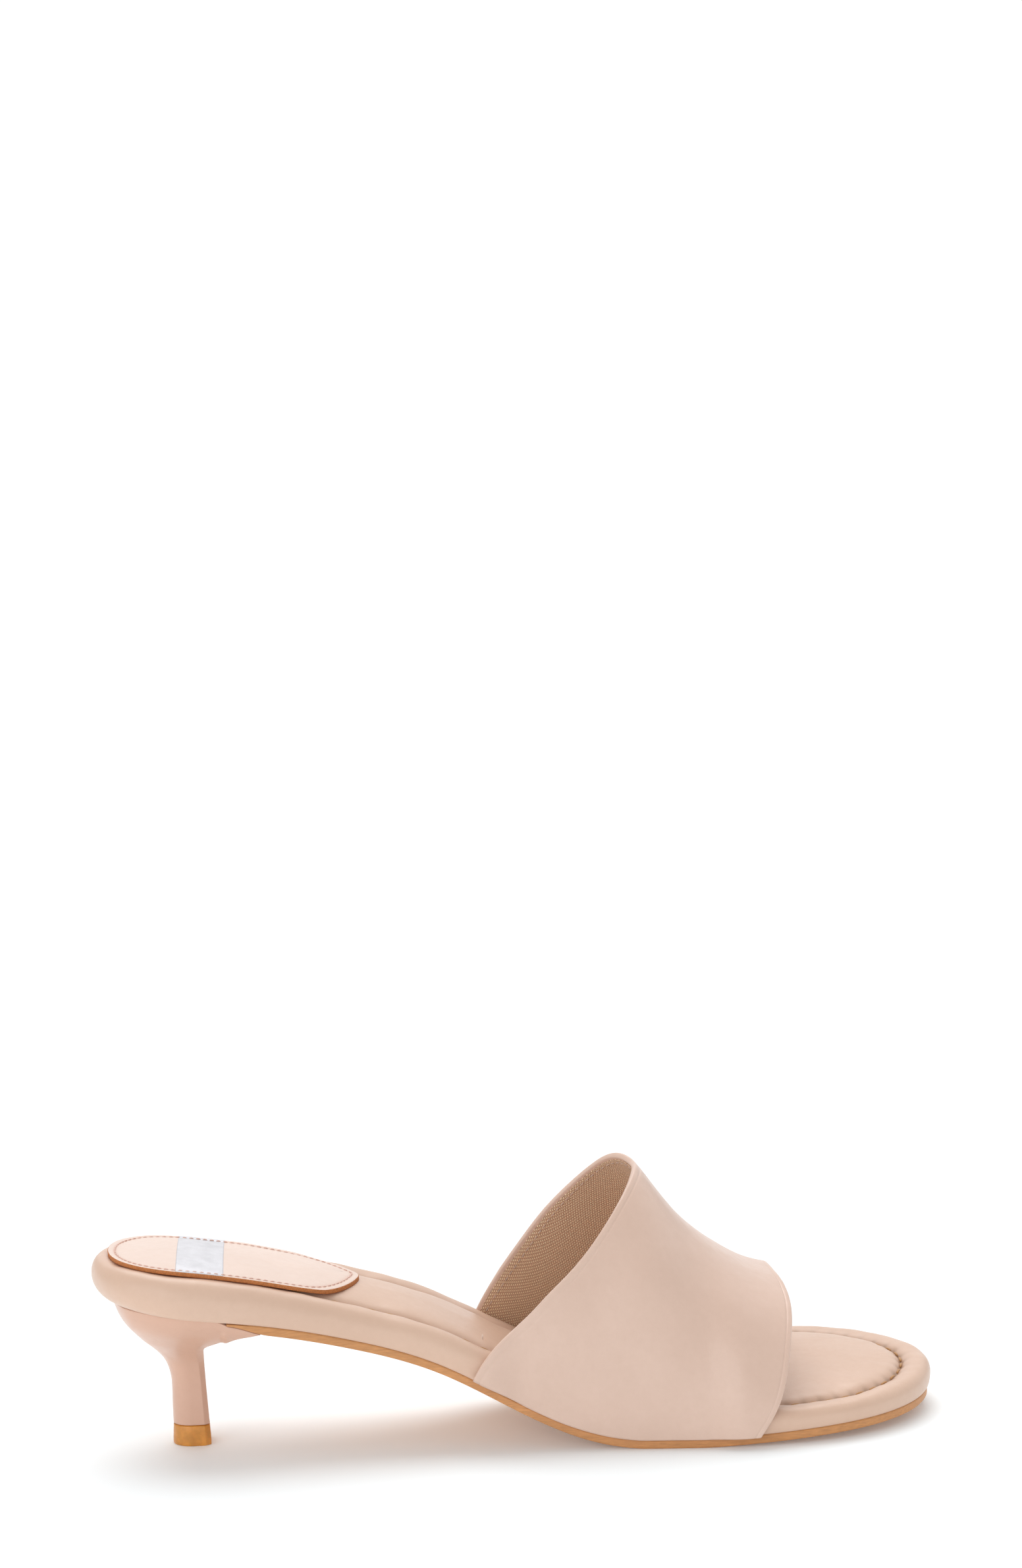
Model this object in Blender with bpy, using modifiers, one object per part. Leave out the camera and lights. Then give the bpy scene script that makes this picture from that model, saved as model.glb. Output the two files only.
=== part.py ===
"""Slide sandal with a kitten heel: one wide band over a padded footbed, a thin outsole and a small heel.

A right shoe. X runs from the heel to the toe, Y to the wearer's left (the medial side), Z up.
Lengths are in metres. Every outline and section is worked out from the sizes below.
"""
import math

import bmesh
import bpy
import numpy as np

# Main sizes of the shoe
FOOTBED_LENGTH = 0.2492
BALL_WIDTH = 0.0855
HEEL_RISE = 0.0465
TOE_SPRING = 0.0038
INSTEP_HEIGHT = 0.0800

# Thicknesses of the layers
OUTSOLE_THICKNESS = 0.0024
OUTSOLE_SKIVED = 0.0006
FOOTBED_THICKNESS = 0.0120
BAND_WALL = 0.0018
HEEL_PAD_THICKNESS = 0.0012
TOP_LIFT_HEIGHT = 0.0061

# Gaps between the pieces
GAP = 0.0003
BAND_GAP = 0.0005

# Footbed: rolled rim, stitched channel and raised inner pad
CHANNEL_INSET = 0.0088
ROLL_TOP_INSET = 0.0044
UNDER_INSET = 0.0010
UNDER_INSET_AT_HEEL = 0.0045
HEEL_ROLL_REACH = 0.030
SIDE_DEPTH_REACH = 0.026
CHANNEL_DEPTH = 0.0024
CHANNEL_REACH = 0.0016
CHANNEL_STARTS = 0.050
CHANNEL_FULL = 0.064
PAD_CROWN = 0.0009
PAD_CROWN_REACH = 0.008
TIP_OFFSET = 0.0064
SPINE_BACK = 0.028
SPINE_FRONT = 0.030

# Outsole
OUTSOLE_INSET = 0.0009
OUTSOLE_EDGE = 0.0005
OUTSOLE_STARTS = 0.038
SKIVE_LENGTH = 0.012

# Band
BAND_EASE_BACK = 0.003
BAND_EASE_FRONT = 0.003
BAND_EASE_LENGTH = 0.012
CREST_OFFSET = 0.006

# Heel pad
HEEL_PAD_BACK = 0.0050
HEEL_PAD_LENGTH = 0.0725
HEEL_PAD_TIP_OFFSET = 0.0035
HEEL_PAD_RIM = 0.004

# Heel
SEAT_LENGTH = 0.0475
SEAT_INSET = 0.0010
STEM_BACK = 0.0213
STEM_LENGTH = 0.0105
STEM_WIDTH = 0.0104
TOP_LIFT_FLARE = 0.0003
STEM_ROUND = 0.55
CORNER_CUT = 0.14

# Mesh steps
TURN_STEPS = 88
BAND_STEPS_LONG = 18
BAND_STEPS_ROUND = 40
HEEL_SIDE_STEPS = 14

# Half-widths of the footbed, as shares of the ball width:
# share of length, lateral side, medial side
OUTLINE = (
    (0.024, 0.216, 0.221),
    (0.095, 0.324, 0.330),
    (0.205, 0.298, 0.298),
    (0.343, 0.280, 0.272),
    (0.498, 0.328, 0.339),
    (0.652, 0.393, 0.486),
    (0.790, 0.423, 0.578),
    (0.900, 0.350, 0.522),
    (0.971, 0.182, 0.330),
)

# Height of the outsole's underside: share of length, share of heel rise, share of toe spring
SIDE_LINE = (
    (0.000, 0.955, 0.00),
    (0.100, 0.888, 0.00),
    (0.199, 0.805, 0.00),
    (0.299, 0.678, 0.00),
    (0.398, 0.497, 0.00),
    (0.498, 0.210, 0.00),
    (0.577, 0.040, 0.00),
    (0.657, -0.005, 0.00),
    (0.736, -0.003, 0.16),
    (0.836, 0.000, 0.49),
    (0.916, 0.000, 0.72),
    (1.000, 0.000, 1.00),
)

# Thickness of the footbed: share of length, then as shares of its thickness the lateral side and the
# medial side, which is higher at the arch
FOOTBED_DEPTH = (
    (0.00, 0.93, 0.93),
    (0.13, 0.94, 0.97),
    (0.24, 0.84, 1.01),
    (0.34, 0.79, 1.03),
    (0.43, 0.86, 1.01),
    (0.52, 0.97, 1.00),
    (0.66, 0.88, 0.93),
    (0.80, 0.58, 0.80),
    (0.90, 0.55, 0.76),
    (1.00, 0.67, 0.73),
)

# Band edges from the sole (0) to the crest (1): share of the arch, then as shares of the footbed's
# length the back edge on the lateral side, the back edge on the medial side, and the front edge
BAND_EDGES = (
    (0.00, 0.431, 0.443, 0.760),
    (0.10, 0.475, 0.473, 0.776),
    (0.25, 0.518, 0.509, 0.790),
    (0.45, 0.567, 0.548, 0.800),
    (0.70, 0.613, 0.598, 0.809),
    (1.00, 0.636, 0.636, 0.807),
)

# Crest of the band: share of length, share of the instep height
CREST = (
    (0.597, 1.058),
    (0.637, 0.969),
    (0.677, 0.804),
    (0.716, 0.686),
    (0.756, 0.598),
    (0.796, 0.542),
    (0.836, 0.514),
)

# Fullness of the band's section: share of length, exponent of the cosine
FULLNESS = (
    (0.50, 0.92),
    (0.85, 0.76),
)

# Heel pad half-widths, as shares of the ball width: share of its length, lateral side, medial side
HEEL_PAD_OUTLINE = (
    (0.020, 0.108, 0.112),
    (0.080, 0.192, 0.200),
    (0.245, 0.258, 0.268),
    (0.420, 0.256, 0.262),
    (0.600, 0.240, 0.238),
    (0.740, 0.220, 0.210),
    (0.865, 0.172, 0.160),
    (0.955, 0.075, 0.098),
)

# Heel body from the top lift (0) to the seat (1): share of its height, and how far the back, the
# front and the sides have gone over from the stem to the seat
HEEL_FLARE = (
    (0.000, 0.000, 0.000, 0.000),
    (0.120, 0.000, -0.012, -0.004),
    (0.240, -0.005, -0.025, -0.008),
    (0.360, 0.000, -0.035, -0.004),
    (0.450, 0.045, -0.042, 0.025),
    (0.530, 0.135, -0.045, 0.085),
    (0.600, 0.280, -0.045, 0.210),
    (0.650, 0.405, -0.042, 0.330),
    (0.690, 0.515, -0.010, 0.435),
    (0.740, 0.635, 0.160, 0.565),
    (0.810, 0.790, 0.380, 0.745),
    (0.880, 0.900, 0.590, 0.875),
    (0.940, 0.960, 0.800, 0.950),
    (1.000, 1.000, 1.000, 1.000),
)

# Colour, roughness and metallic value of each material
MATERIALS = {
    "footbed": ((0.72, 0.51, 0.39, 1.0), 0.48, 0.0),
    "outsole": ((0.60, 0.26, 0.09, 1.0), 0.50, 0.0),
    "upper": ((0.70, 0.50, 0.40, 1.0), 0.46, 0.0),
    "heel_pad": ((0.72, 0.52, 0.41, 1.0), 0.50, 0.0),
    "heel": ((0.68, 0.43, 0.33, 1.0), 0.34, 0.0),
    "top_lift": ((0.58, 0.26, 0.06, 1.0), 0.32, 0.0),
}


def spline(knots, values, at):
    """Cubic curve through the knots, straight at both ends, read at the places in at."""
    knots, values, at = (np.asarray(part, dtype=float) for part in (knots, values, at))
    step = np.diff(knots)
    slope = np.diff(values) / step
    count = len(knots)
    system = np.eye(count)
    right = np.zeros(count)
    for row in range(1, count - 1):
        system[row, row - 1:row + 2] = step[row - 1], 2 * (step[row - 1] + step[row]), step[row]
        right[row] = 6 * (slope[row] - slope[row - 1])
    bend = np.linalg.solve(system, right)
    near = np.clip(np.searchsorted(knots, at) - 1, 0, count - 2)
    before = knots[near + 1] - at
    after = at - knots[near]
    span = step[near]
    cubic = (bend[near] * before ** 3 + bend[near + 1] * after ** 3) / (6 * span)
    start = (values[near] / span - bend[near] * span / 6) * before
    end = (values[near + 1] / span - bend[near + 1] * span / 6) * after
    return cubic + start + end


def column(table, number):
    """One column of a table of rows."""
    return [row[number] for row in table]


def ease(value, start, end):
    """0 before start, 1 past end, with a smooth step between them."""
    share = np.clip((np.asarray(value, dtype=float) - start) / (end - start), 0.0, 1.0)
    return share * share * (3.0 - 2.0 * share)


def closed_curve(table, back, length, width, tip_offset, turn):
    """Plan curve at the angle turn: 0 at the back, pi at the tip, the medial side first.

    x = back + length (1 - cos turn) / 2, and y is a cubic in turn through the table's half-widths.
    """
    turns = [math.acos(1.0 - 2.0 * row[0]) for row in table]
    medial = [row[2] * width for row in table]
    lateral = [-row[1] * width for row in table]
    knots = [0.0] + turns + [math.pi] + [2.0 * math.pi - angle for angle in reversed(turns)]
    values = [0.0] + medial + [tip_offset] + list(reversed(lateral))
    full = 2.0 * math.pi
    knots = np.array([knot - full for knot in knots] + knots + [knot + full for knot in knots])
    y = spline(knots, values * 3, turn)
    x = back + length * (1.0 - np.cos(turn)) / 2.0
    return x, y


def turn_at(x):
    """Angle of the footbed's outline on the medial side at x."""
    return np.arccos(np.clip(1.0 - 2.0 * np.asarray(x) / FOOTBED_LENGTH, -1.0, 1.0))


def squeeze(x):
    """How far the band presses the footbed's rim in at x: its wall and gap, eased in at both edges."""
    back = BAND_EDGES[0][1] * FOOTBED_LENGTH + BAND_EASE_BACK
    front = BAND_EDGES[0][3] * FOOTBED_LENGTH - BAND_EASE_FRONT
    pressed = ease(x, back, back + BAND_EASE_LENGTH) * (1.0 - ease(x, front - BAND_EASE_LENGTH, front))
    return (BAND_WALL + BAND_GAP) * pressed


def outline(turn, squeezed=True):
    """Plan outline of the footbed at the angle turn."""
    turn = np.asarray(turn, dtype=float)
    x, y = closed_curve(OUTLINE, 0.0, FOOTBED_LENGTH, BALL_WIDTH, TIP_OFFSET, turn)
    if squeezed:
        y = y - np.sign(np.sin(turn)) * squeeze(x)
    return x, y


def inset_outline(turn, inset, squeezed=True):
    """Outline moved inward by inset, along its own normal."""
    small = 1e-4
    x, y = outline(turn, squeezed)
    ahead_x, ahead_y = outline(turn + small, squeezed)
    behind_x, behind_y = outline(turn - small, squeezed)
    along_x = ahead_x - behind_x
    along_y = ahead_y - behind_y
    size = np.hypot(along_x, along_y)
    return x + inset * along_y / size, y - inset * along_x / size


def side_y(x, side, squeezed=True):
    """y of the outline at x on one side: 1 medial, -1 lateral."""
    turn = turn_at(x)
    if side < 0:
        turn = 2.0 * math.pi - turn
    return outline(turn, squeezed)[1]


def spine(turn):
    """Middle line of the footbed, where the rings of its top and underside close."""
    reach = FOOTBED_LENGTH - SPINE_BACK - SPINE_FRONT
    x = SPINE_BACK + reach * (1.0 - np.cos(turn)) / 2.0
    return x, (side_y(x, 1) + side_y(x, -1)) / 2.0


def ground_line(x):
    """Height of the outsole's underside: the heel's rise behind the ball and the toe spring before it."""
    share = np.asarray(x) / FOOTBED_LENGTH
    rise = HEEL_RISE * spline(column(SIDE_LINE, 0), column(SIDE_LINE, 1), share)
    spring = TOE_SPRING * spline(column(SIDE_LINE, 0), column(SIDE_LINE, 2), share)
    return np.maximum(rise + spring, 0.0)


def seat(x):
    """Height of the footbed's underside."""
    return ground_line(x) + OUTSOLE_THICKNESS + GAP


def footbed_depth(x, y):
    """Thickness of the footbed: the table's lateral and medial values, blended over the middle."""
    share = np.asarray(x) / FOOTBED_LENGTH
    lateral = spline(column(FOOTBED_DEPTH, 0), column(FOOTBED_DEPTH, 1), share)
    medial = spline(column(FOOTBED_DEPTH, 0), column(FOOTBED_DEPTH, 2), share)
    across = ease(y, -SIDE_DEPTH_REACH, SIDE_DEPTH_REACH)
    return FOOTBED_THICKNESS * (lateral + (medial - lateral) * across)


def channel(x, inset):
    """Depth of the stitched channel, which fades out under the heel pad."""
    away = np.abs(inset - CHANNEL_INSET) / CHANNEL_REACH
    return CHANNEL_DEPTH * np.exp(-away) * ease(x, CHANNEL_STARTS, CHANNEL_FULL)


def crown(inset):
    """Rise of the inner pad over the roll's top."""
    return PAD_CROWN * (1.0 - np.exp(-np.maximum(inset - CHANNEL_INSET, 0.0) / PAD_CROWN_REACH))


def roll_height(x, y, inset):
    """Height of the footbed's top over its underside, at a distance inset from its outline.

    The roll is a quarter ellipse from mid-thickness to the roll's top, and flat beyond.
    """
    depth = footbed_depth(x, y)
    short = np.clip(1.0 - inset / ROLL_TOP_INSET, 0.0, 1.0)
    return depth / 2.0 + depth / 2.0 * np.sqrt(1.0 - short * short)


def footbed_top(x, y, inset):
    """Height of the footbed's top at (x, y), at a distance inset from its outline."""
    return seat(x) + roll_height(x, y, inset) - channel(x, inset) + crown(inset)


def inset_at(x, y):
    """Distance from the point (x, y) to the footbed's outline."""
    edge_x, edge_y = outline(np.linspace(0.0, 2.0 * math.pi, 1200))
    return np.min(np.hypot(x[:, None] - edge_x, y[:, None] - edge_y), axis=1)


def add_mesh(name, vertices, faces):
    """One mesh object, smooth shaded, with its own material, in the sandal's collection."""
    mesh = bpy.data.meshes.new(name)
    mesh.from_pydata([tuple(map(float, vertex)) for vertex in vertices], [], faces)
    body = bmesh.new()
    body.from_mesh(mesh)
    bmesh.ops.recalc_face_normals(body, faces=body.faces)
    body.to_mesh(mesh)
    body.free()
    mesh.shade_smooth()
    piece = bpy.data.objects.new(name, mesh)
    bpy.data.collections["slide_sandal"].objects.link(piece)
    piece.parent = bpy.data.objects["slide_sandal_origin"]
    mesh.materials.append(add_material(name))
    return piece


def add_material(name):
    """Principled material of one piece."""
    colour, roughness, metallic = MATERIALS[name]
    material = bpy.data.materials.new(name)
    material.use_nodes = True
    shader = material.node_tree.nodes["Principled BSDF"]
    shader.inputs["Base Color"].default_value = colour
    shader.inputs["Roughness"].default_value = roughness
    shader.inputs["Metallic"].default_value = metallic
    material.diffuse_color = colour
    return material


def ring_faces(rings, steps):
    """Quads between closed rings of the same number of points, each ring after the other."""
    faces = []
    for ring in range(rings - 1):
        for step in range(steps):
            after = (step + 1) % steps
            low, high = ring * steps, (ring + 1) * steps
            faces.append((low + step, low + after, high + after, high + step))
    return faces


def closed_on_spine(rings, steps, first, last):
    """Vertices and faces of a body of rings, whose first and last ring close on a middle line.

    The points of a middle line serve both sides, so each holds steps / 2 + 1 of them.
    """
    half = steps // 2
    vertices = [point for ring in rings for point in ring]
    faces = ring_faces(len(rings), steps)
    start_line = len(vertices)
    vertices.extend(first)
    end_line = len(vertices)
    vertices.extend(last)
    top = (len(rings) - 1) * steps
    for step in range(steps):
        after = (step + 1) % steps
        near = min(step, steps - step)
        far = min(after, steps - after) if after else 0
        faces.append((start_line + near, start_line + far, after, step))
        faces.append((top + step, top + after, end_line + far, end_line + near))
    assert len(first) == len(last) == half + 1
    return vertices, faces


def build_footbed():
    """Padded footbed: underside, roll of two quarter ellipses, channel and inner pad, ring by ring."""
    turn = np.linspace(0.0, 2.0 * math.pi, TURN_STEPS, endpoint=False)
    x, _ = outline(turn)
    behind = 1.0 - ease(x, 0.0, HEEL_ROLL_REACH)
    under = UNDER_INSET + (UNDER_INSET_AT_HEEL - UNDER_INSET) * behind
    rings = []

    def underside_ring(share):
        edge_x, edge_y = inset_outline(turn, under)
        middle_x, middle_y = spine(turn)
        ring_x = edge_x + share * (middle_x - edge_x)
        ring_y = edge_y + share * (middle_y - edge_y)
        rings.append(np.column_stack((ring_x, ring_y, seat(ring_x))))

    def roll_ring(angle):
        below = angle < 0.0
        reach = under if below else ROLL_TOP_INSET
        ring_x, ring_y = inset_outline(turn, reach * (1.0 - math.cos(angle)))
        depth = footbed_depth(ring_x, ring_y)
        rings.append(np.column_stack((ring_x, ring_y, seat(ring_x) + depth * (1.0 + math.sin(angle)) / 2.0)))

    def top_ring(inset, share=0.0):
        edge_x, edge_y = inset_outline(turn, inset)
        middle_x, middle_y = spine(turn)
        ring_x = edge_x + share * (middle_x - edge_x)
        ring_y = edge_y + share * (middle_y - edge_y)
        away = inset if share == 0.0 else inset_at(ring_x, ring_y)
        rings.append(np.column_stack((ring_x, ring_y, footbed_top(ring_x, ring_y, away))))

    for share in (0.6, 0.25):
        underside_ring(share)
    for degrees in (-90, -60, -30, 0, 30, 60, 90):
        roll_ring(math.radians(degrees))
    for offset in (-2.0, -0.8, 0.0, 0.8, 2.2):
        top_ring(CHANNEL_INSET + offset * CHANNEL_REACH)
    for share in (0.3, 0.65):
        top_ring(CHANNEL_INSET + 2.2 * CHANNEL_REACH, share)
    half_turn = np.linspace(0.0, math.pi, TURN_STEPS // 2 + 1)
    line_x, line_y = spine(half_turn)
    below = np.column_stack((line_x, line_y, seat(line_x)))
    high = footbed_top(line_x, line_y, inset_at(line_x, line_y))
    above = np.column_stack((line_x, line_y, high))
    vertices, faces = closed_on_spine(rings, TURN_STEPS, below, above)
    return add_mesh("footbed", vertices, faces)


def outsole_depth(x):
    """Thickness of the outsole, skived under the heel seat."""
    full = ease(x, OUTSOLE_STARTS, OUTSOLE_STARTS + SKIVE_LENGTH)
    return OUTSOLE_SKIVED + (OUTSOLE_THICKNESS - OUTSOLE_SKIVED) * full


def outsole_top(x):
    """Height of the outsole's top, one gap under the footbed."""
    return seat(x) - GAP


def build_outsole():
    """Thin outsole: its outline from the heel's front edge to the toe, with a rounded lower edge."""
    first = float(turn_at(OUTSOLE_STARTS))
    steps = TURN_STEPS // 2
    medial = first + (math.pi - first) * np.linspace(0.0, 1.0, steps) ** 0.9
    turn = np.concatenate((medial, 2.0 * math.pi - medial[-2::-1]))
    count = len(turn)
    rings = []
    for inset, share in ((OUTSOLE_INSET, 0.0), (OUTSOLE_INSET, 0.7), (OUTSOLE_INSET + OUTSOLE_EDGE, 1.0)):
        x, y = inset_outline(turn, inset, squeezed=False)
        x[0] = x[-1] = OUTSOLE_STARTS
        rings.append(np.column_stack((x, y, outsole_top(x) - share * outsole_depth(x))))
    vertices = [point for ring in rings for point in ring]
    faces = ring_faces(len(rings), count)
    last = (len(rings) - 1) * count
    for step in range(count // 2 - 1):
        mirror = count - 1 - step
        faces.append((step, mirror, mirror - 1, step + 1))
        faces.append((last + step, last + step + 1, last + mirror - 1, last + mirror))
    tip = count // 2
    faces.append((tip - 1, tip + 1, tip))
    faces.append((last + tip - 1, last + tip, last + tip + 1))
    return add_mesh("outsole", vertices, faces)


def crest_height(x):
    """Height of the inside of the band at its crest."""
    share = np.asarray(x) / FOOTBED_LENGTH
    return INSTEP_HEIGHT * spline(column(CREST, 0), column(CREST, 1), share) - BAND_WALL


def band_point(along, arch, side):
    """Inside of the band: along from its back to its front edge, arch from the sole to the crest.

    At each x the section is y = crest + (rim - crest) cos(a)^n and z = sole + (top - sole) sin(a).
    """
    back_column = 2 if side > 0 else 1
    back = FOOTBED_LENGTH * spline(column(BAND_EDGES, 0), column(BAND_EDGES, back_column), arch)
    front = FOOTBED_LENGTH * spline(column(BAND_EDGES, 0), column(BAND_EDGES, 3), arch)
    x = back + along * (front - back)
    angle = arch * math.pi / 2.0
    rim = side_y(x, side) + side * BAND_GAP
    power = spline(column(FULLNESS, 0), column(FULLNESS, 1), x / FOOTBED_LENGTH)
    across = np.clip(np.cos(angle), 0.0, 1.0) ** power
    y = CREST_OFFSET + (rim - CREST_OFFSET) * across
    z = seat(x) + (crest_height(x) - seat(x)) * np.sin(angle)
    return np.stack((x, y, z), axis=-1)


def build_upper():
    """Band: an open shell over the instep, thickened outward to its real wall."""
    along = np.linspace(0.0, 1.0, BAND_STEPS_LONG + 1)
    half = np.linspace(0.0, 1.0, BAND_STEPS_ROUND // 2 + 1)
    sides = [(arch, -1) for arch in half] + [(arch, 1) for arch in half[-2::-1]]
    vertices = []
    for arch, side in sides:
        vertices.extend(band_point(along, np.full_like(along, arch), side))
    row = len(along)
    faces = []
    for step in range(len(sides) - 1):
        for place in range(row - 1):
            corner = step * row + place
            faces.append((corner, corner + row, corner + row + 1, corner + 1))
    piece = add_mesh("upper", vertices, faces)
    wall = piece.modifiers.new("wall", "SOLIDIFY")
    wall.thickness = BAND_WALL
    wall.offset = 1.0
    wall.use_even_offset = True
    return piece


def heel_pad_curve(turn, inset=0.0):
    """Plan outline of the heel pad, moved inward by inset."""
    small = 1e-4

    def curve(angle):
        return closed_curve(HEEL_PAD_OUTLINE, HEEL_PAD_BACK, HEEL_PAD_LENGTH, BALL_WIDTH,
                            HEEL_PAD_TIP_OFFSET, angle)

    x, y = curve(turn)
    ahead_x, ahead_y = curve(turn + small)
    behind_x, behind_y = curve(turn - small)
    size = np.hypot(ahead_x - behind_x, ahead_y - behind_y)
    return x + inset * (ahead_y - behind_y) / size, y - inset * (ahead_x - behind_x) / size


def build_heel_pad():
    """Leather sock on the heel seat: a sheet that follows the footbed's top one gap above it."""
    turn = np.linspace(0.0, 2.0 * math.pi, TURN_STEPS, endpoint=False)
    half_turn = np.linspace(0.0, math.pi, TURN_STEPS // 2 + 1)
    back_x = HEEL_PAD_BACK + SPINE_BACK * 0.7
    front_x = HEEL_PAD_BACK + HEEL_PAD_LENGTH * 0.86

    def middle(angle):
        line_x = back_x + (front_x - back_x) * (1.0 - np.cos(angle)) / 2.0
        share = (line_x - back_x) / (front_x - back_x)
        return line_x, HEEL_PAD_TIP_OFFSET * 0.8 * share ** 2

    def sheet_ring(inset, share, lift):
        edge_x, edge_y = heel_pad_curve(turn, inset)
        middle_x, middle_y = middle(turn)
        x = edge_x + share * (middle_x - edge_x)
        y = edge_y + share * (middle_y - edge_y)
        away = inset_at(x, y)
        return np.column_stack((x, y, seat(x) + roll_height(x, y, away) + crown(away) + GAP + lift))

    rings = [sheet_ring(0.0, 0.5, 0.0), sheet_ring(HEEL_PAD_RIM, 0.0, 0.0), sheet_ring(0.0, 0.0, 0.0)]
    rings += [sheet_ring(0.0, 0.0, HEEL_PAD_THICKNESS), sheet_ring(HEEL_PAD_RIM, 0.0, HEEL_PAD_THICKNESS)]
    rings += [sheet_ring(0.0, 0.5, HEEL_PAD_THICKNESS)]
    line_x, line_y = middle(half_turn)
    away = inset_at(line_x, line_y)
    low = seat(line_x) + roll_height(line_x, line_y, away) + crown(away) + GAP
    below = np.column_stack((line_x, line_y, low))
    above = np.column_stack((line_x, line_y, low + HEEL_PAD_THICKNESS))
    vertices, faces = closed_on_spine(rings, TURN_STEPS, below, above)
    return add_mesh("heel_pad", vertices, faces)


def heel_side():
    """Shares along the heel from its front (1) to its back (0), closer together at the back."""
    step = np.linspace(0.0, 1.0, HEEL_SIDE_STEPS)
    return (1.0 + np.cos(math.pi * step)) / 2.0


def stem_half(share):
    """Half-width of the stem's section: round at the back, cut corners at the front."""
    round_part = np.clip(share / STEM_ROUND, 0.0, 1.0)
    half = np.sqrt(1.0 - (1.0 - round_part) ** 2)
    return half * (1.0 - CORNER_CUT * ease(share, 1.0 - CORNER_CUT, 1.0))


def seat_top(x):
    """Top of the heel: one gap under the footbed, or under the outsole where that lies between."""
    under_outsole = ease(x, OUTSOLE_STARTS - 0.002, OUTSOLE_STARTS)
    return seat(x) - GAP - under_outsole * (outsole_depth(x) + GAP)


def heel_ring(height, back_share, front_share, side_share):
    """One section of the heel, between the stem's section and the seat's, as a closed ring."""
    share = heel_side()
    seat_back = UNDER_INSET_AT_HEEL + SEAT_INSET
    back = STEM_BACK + (seat_back - STEM_BACK) * back_share
    stem_front = STEM_BACK + STEM_LENGTH
    front = stem_front + (SEAT_LENGTH - stem_front) * front_share
    x = back + (front - back) * share
    seat_x = seat_back + (SEAT_LENGTH - seat_back) * share
    turn = turn_at(seat_x)
    points = []
    for side in (1, -1):
        angle = turn if side > 0 else 2.0 * math.pi - turn
        behind = 1.0 - ease(seat_x, 0.0, HEEL_ROLL_REACH)
        under = UNDER_INSET + (UNDER_INSET_AT_HEEL - UNDER_INSET) * behind
        seat_half = np.abs(inset_outline(angle, under + SEAT_INSET)[1])
        seat_half = seat_half * np.sqrt(np.clip(1.0 - (1.0 - np.clip(share / 0.2, 0.0, 1.0)) ** 4, 0.0, 1.0))
        half = STEM_WIDTH / 2.0 * stem_half(share) * (1.0 - side_share) + seat_half * side_share
        z = TOP_LIFT_HEIGHT + GAP + (seat_top(x) - TOP_LIFT_HEIGHT - GAP) * height
        points.append(np.column_stack((x, side * half, z)))
    medial, lateral = points
    return np.concatenate((medial, lateral[-2::-1]))


def ladder_faces(start, count, upward):
    """Quads from side to side over one ring of the heel, whose middle point is at the back."""
    faces = []
    middle = count // 2
    for step in range(middle - 1):
        mirror = count - 1 - step
        faces.append((start + step, start + step + 1, start + mirror - 1, start + mirror))
    faces.append((start + middle - 1, start + middle, start + middle + 1))
    return faces if upward else [tuple(reversed(face)) for face in faces]


def build_heel():
    """Kitten heel: sections from the top lift to the heel seat."""
    rings = [heel_ring(*row) for row in HEEL_FLARE]
    count = len(rings[0])
    vertices = [point for ring in rings for point in ring]
    faces = ring_faces(len(rings), count)
    faces += ladder_faces(0, count, False)
    faces += ladder_faces((len(rings) - 1) * count, count, True)
    return add_mesh("heel", vertices, faces)


def build_top_lift():
    """Top lift: the stem's own section, flared a little to the floor."""
    share = heel_side()
    rings = []
    for height, flare in ((0.0, 0.0), (0.0006, TOP_LIFT_FLARE), (TOP_LIFT_HEIGHT, 0.0)):
        x = STEM_BACK - flare + (STEM_LENGTH + 2.0 * flare) * share
        half = (STEM_WIDTH / 2.0 + flare) * stem_half(share)
        z = np.full_like(x, height)
        medial = np.column_stack((x, half, z))
        lateral = np.column_stack((x, -half, z))
        rings.append(np.concatenate((medial, lateral[-2::-1])))
    count = len(rings[0])
    vertices = [point for ring in rings for point in ring]
    faces = ring_faces(len(rings), count)
    faces += ladder_faces(0, count, False)
    faces += ladder_faces((len(rings) - 1) * count, count, True)
    return add_mesh("top_lift", vertices, faces)


def clear_scene():
    """Removes what the scene holds."""
    for thing in list(bpy.data.objects):
        bpy.data.objects.remove(thing, do_unlink=True)


def add_origin():
    """Collection of the pieces, and the empty that carries them."""
    collection = bpy.data.collections.new("slide_sandal")
    bpy.context.scene.collection.children.link(collection)
    collection.objects.link(bpy.data.objects.new("slide_sandal_origin", None))


def centre_on_origin():
    """Moves the empty so that the box of all the pieces is centred over the origin."""
    graph = bpy.context.evaluated_depsgraph_get()
    corners = []
    for piece in bpy.data.collections["slide_sandal"].objects:
        if piece.type == "MESH":
            corners.extend(tuple(corner) for corner in piece.evaluated_get(graph).bound_box)
    low, high = np.min(corners, axis=0), np.max(corners, axis=0)
    middle = (low + high) / 2.0
    bpy.data.objects["slide_sandal_origin"].location = (-middle[0], -middle[1], -low[2])


def main():
    clear_scene()
    add_origin()
    build_outsole()
    build_footbed()
    build_upper()
    build_heel_pad()
    build_heel()
    build_top_lift()
    centre_on_origin()


main()
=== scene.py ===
"""Slide sandal with a kitten heel: the fine pieces and finishes, with a floor, light and a camera.

A right shoe, in metres. The forms run in x from the heel to the toe and in y to the medial side, and are
moved into the frame at the end. The tables' lengths are shares of named sizes, as their headings say.
"""
import math

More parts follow.
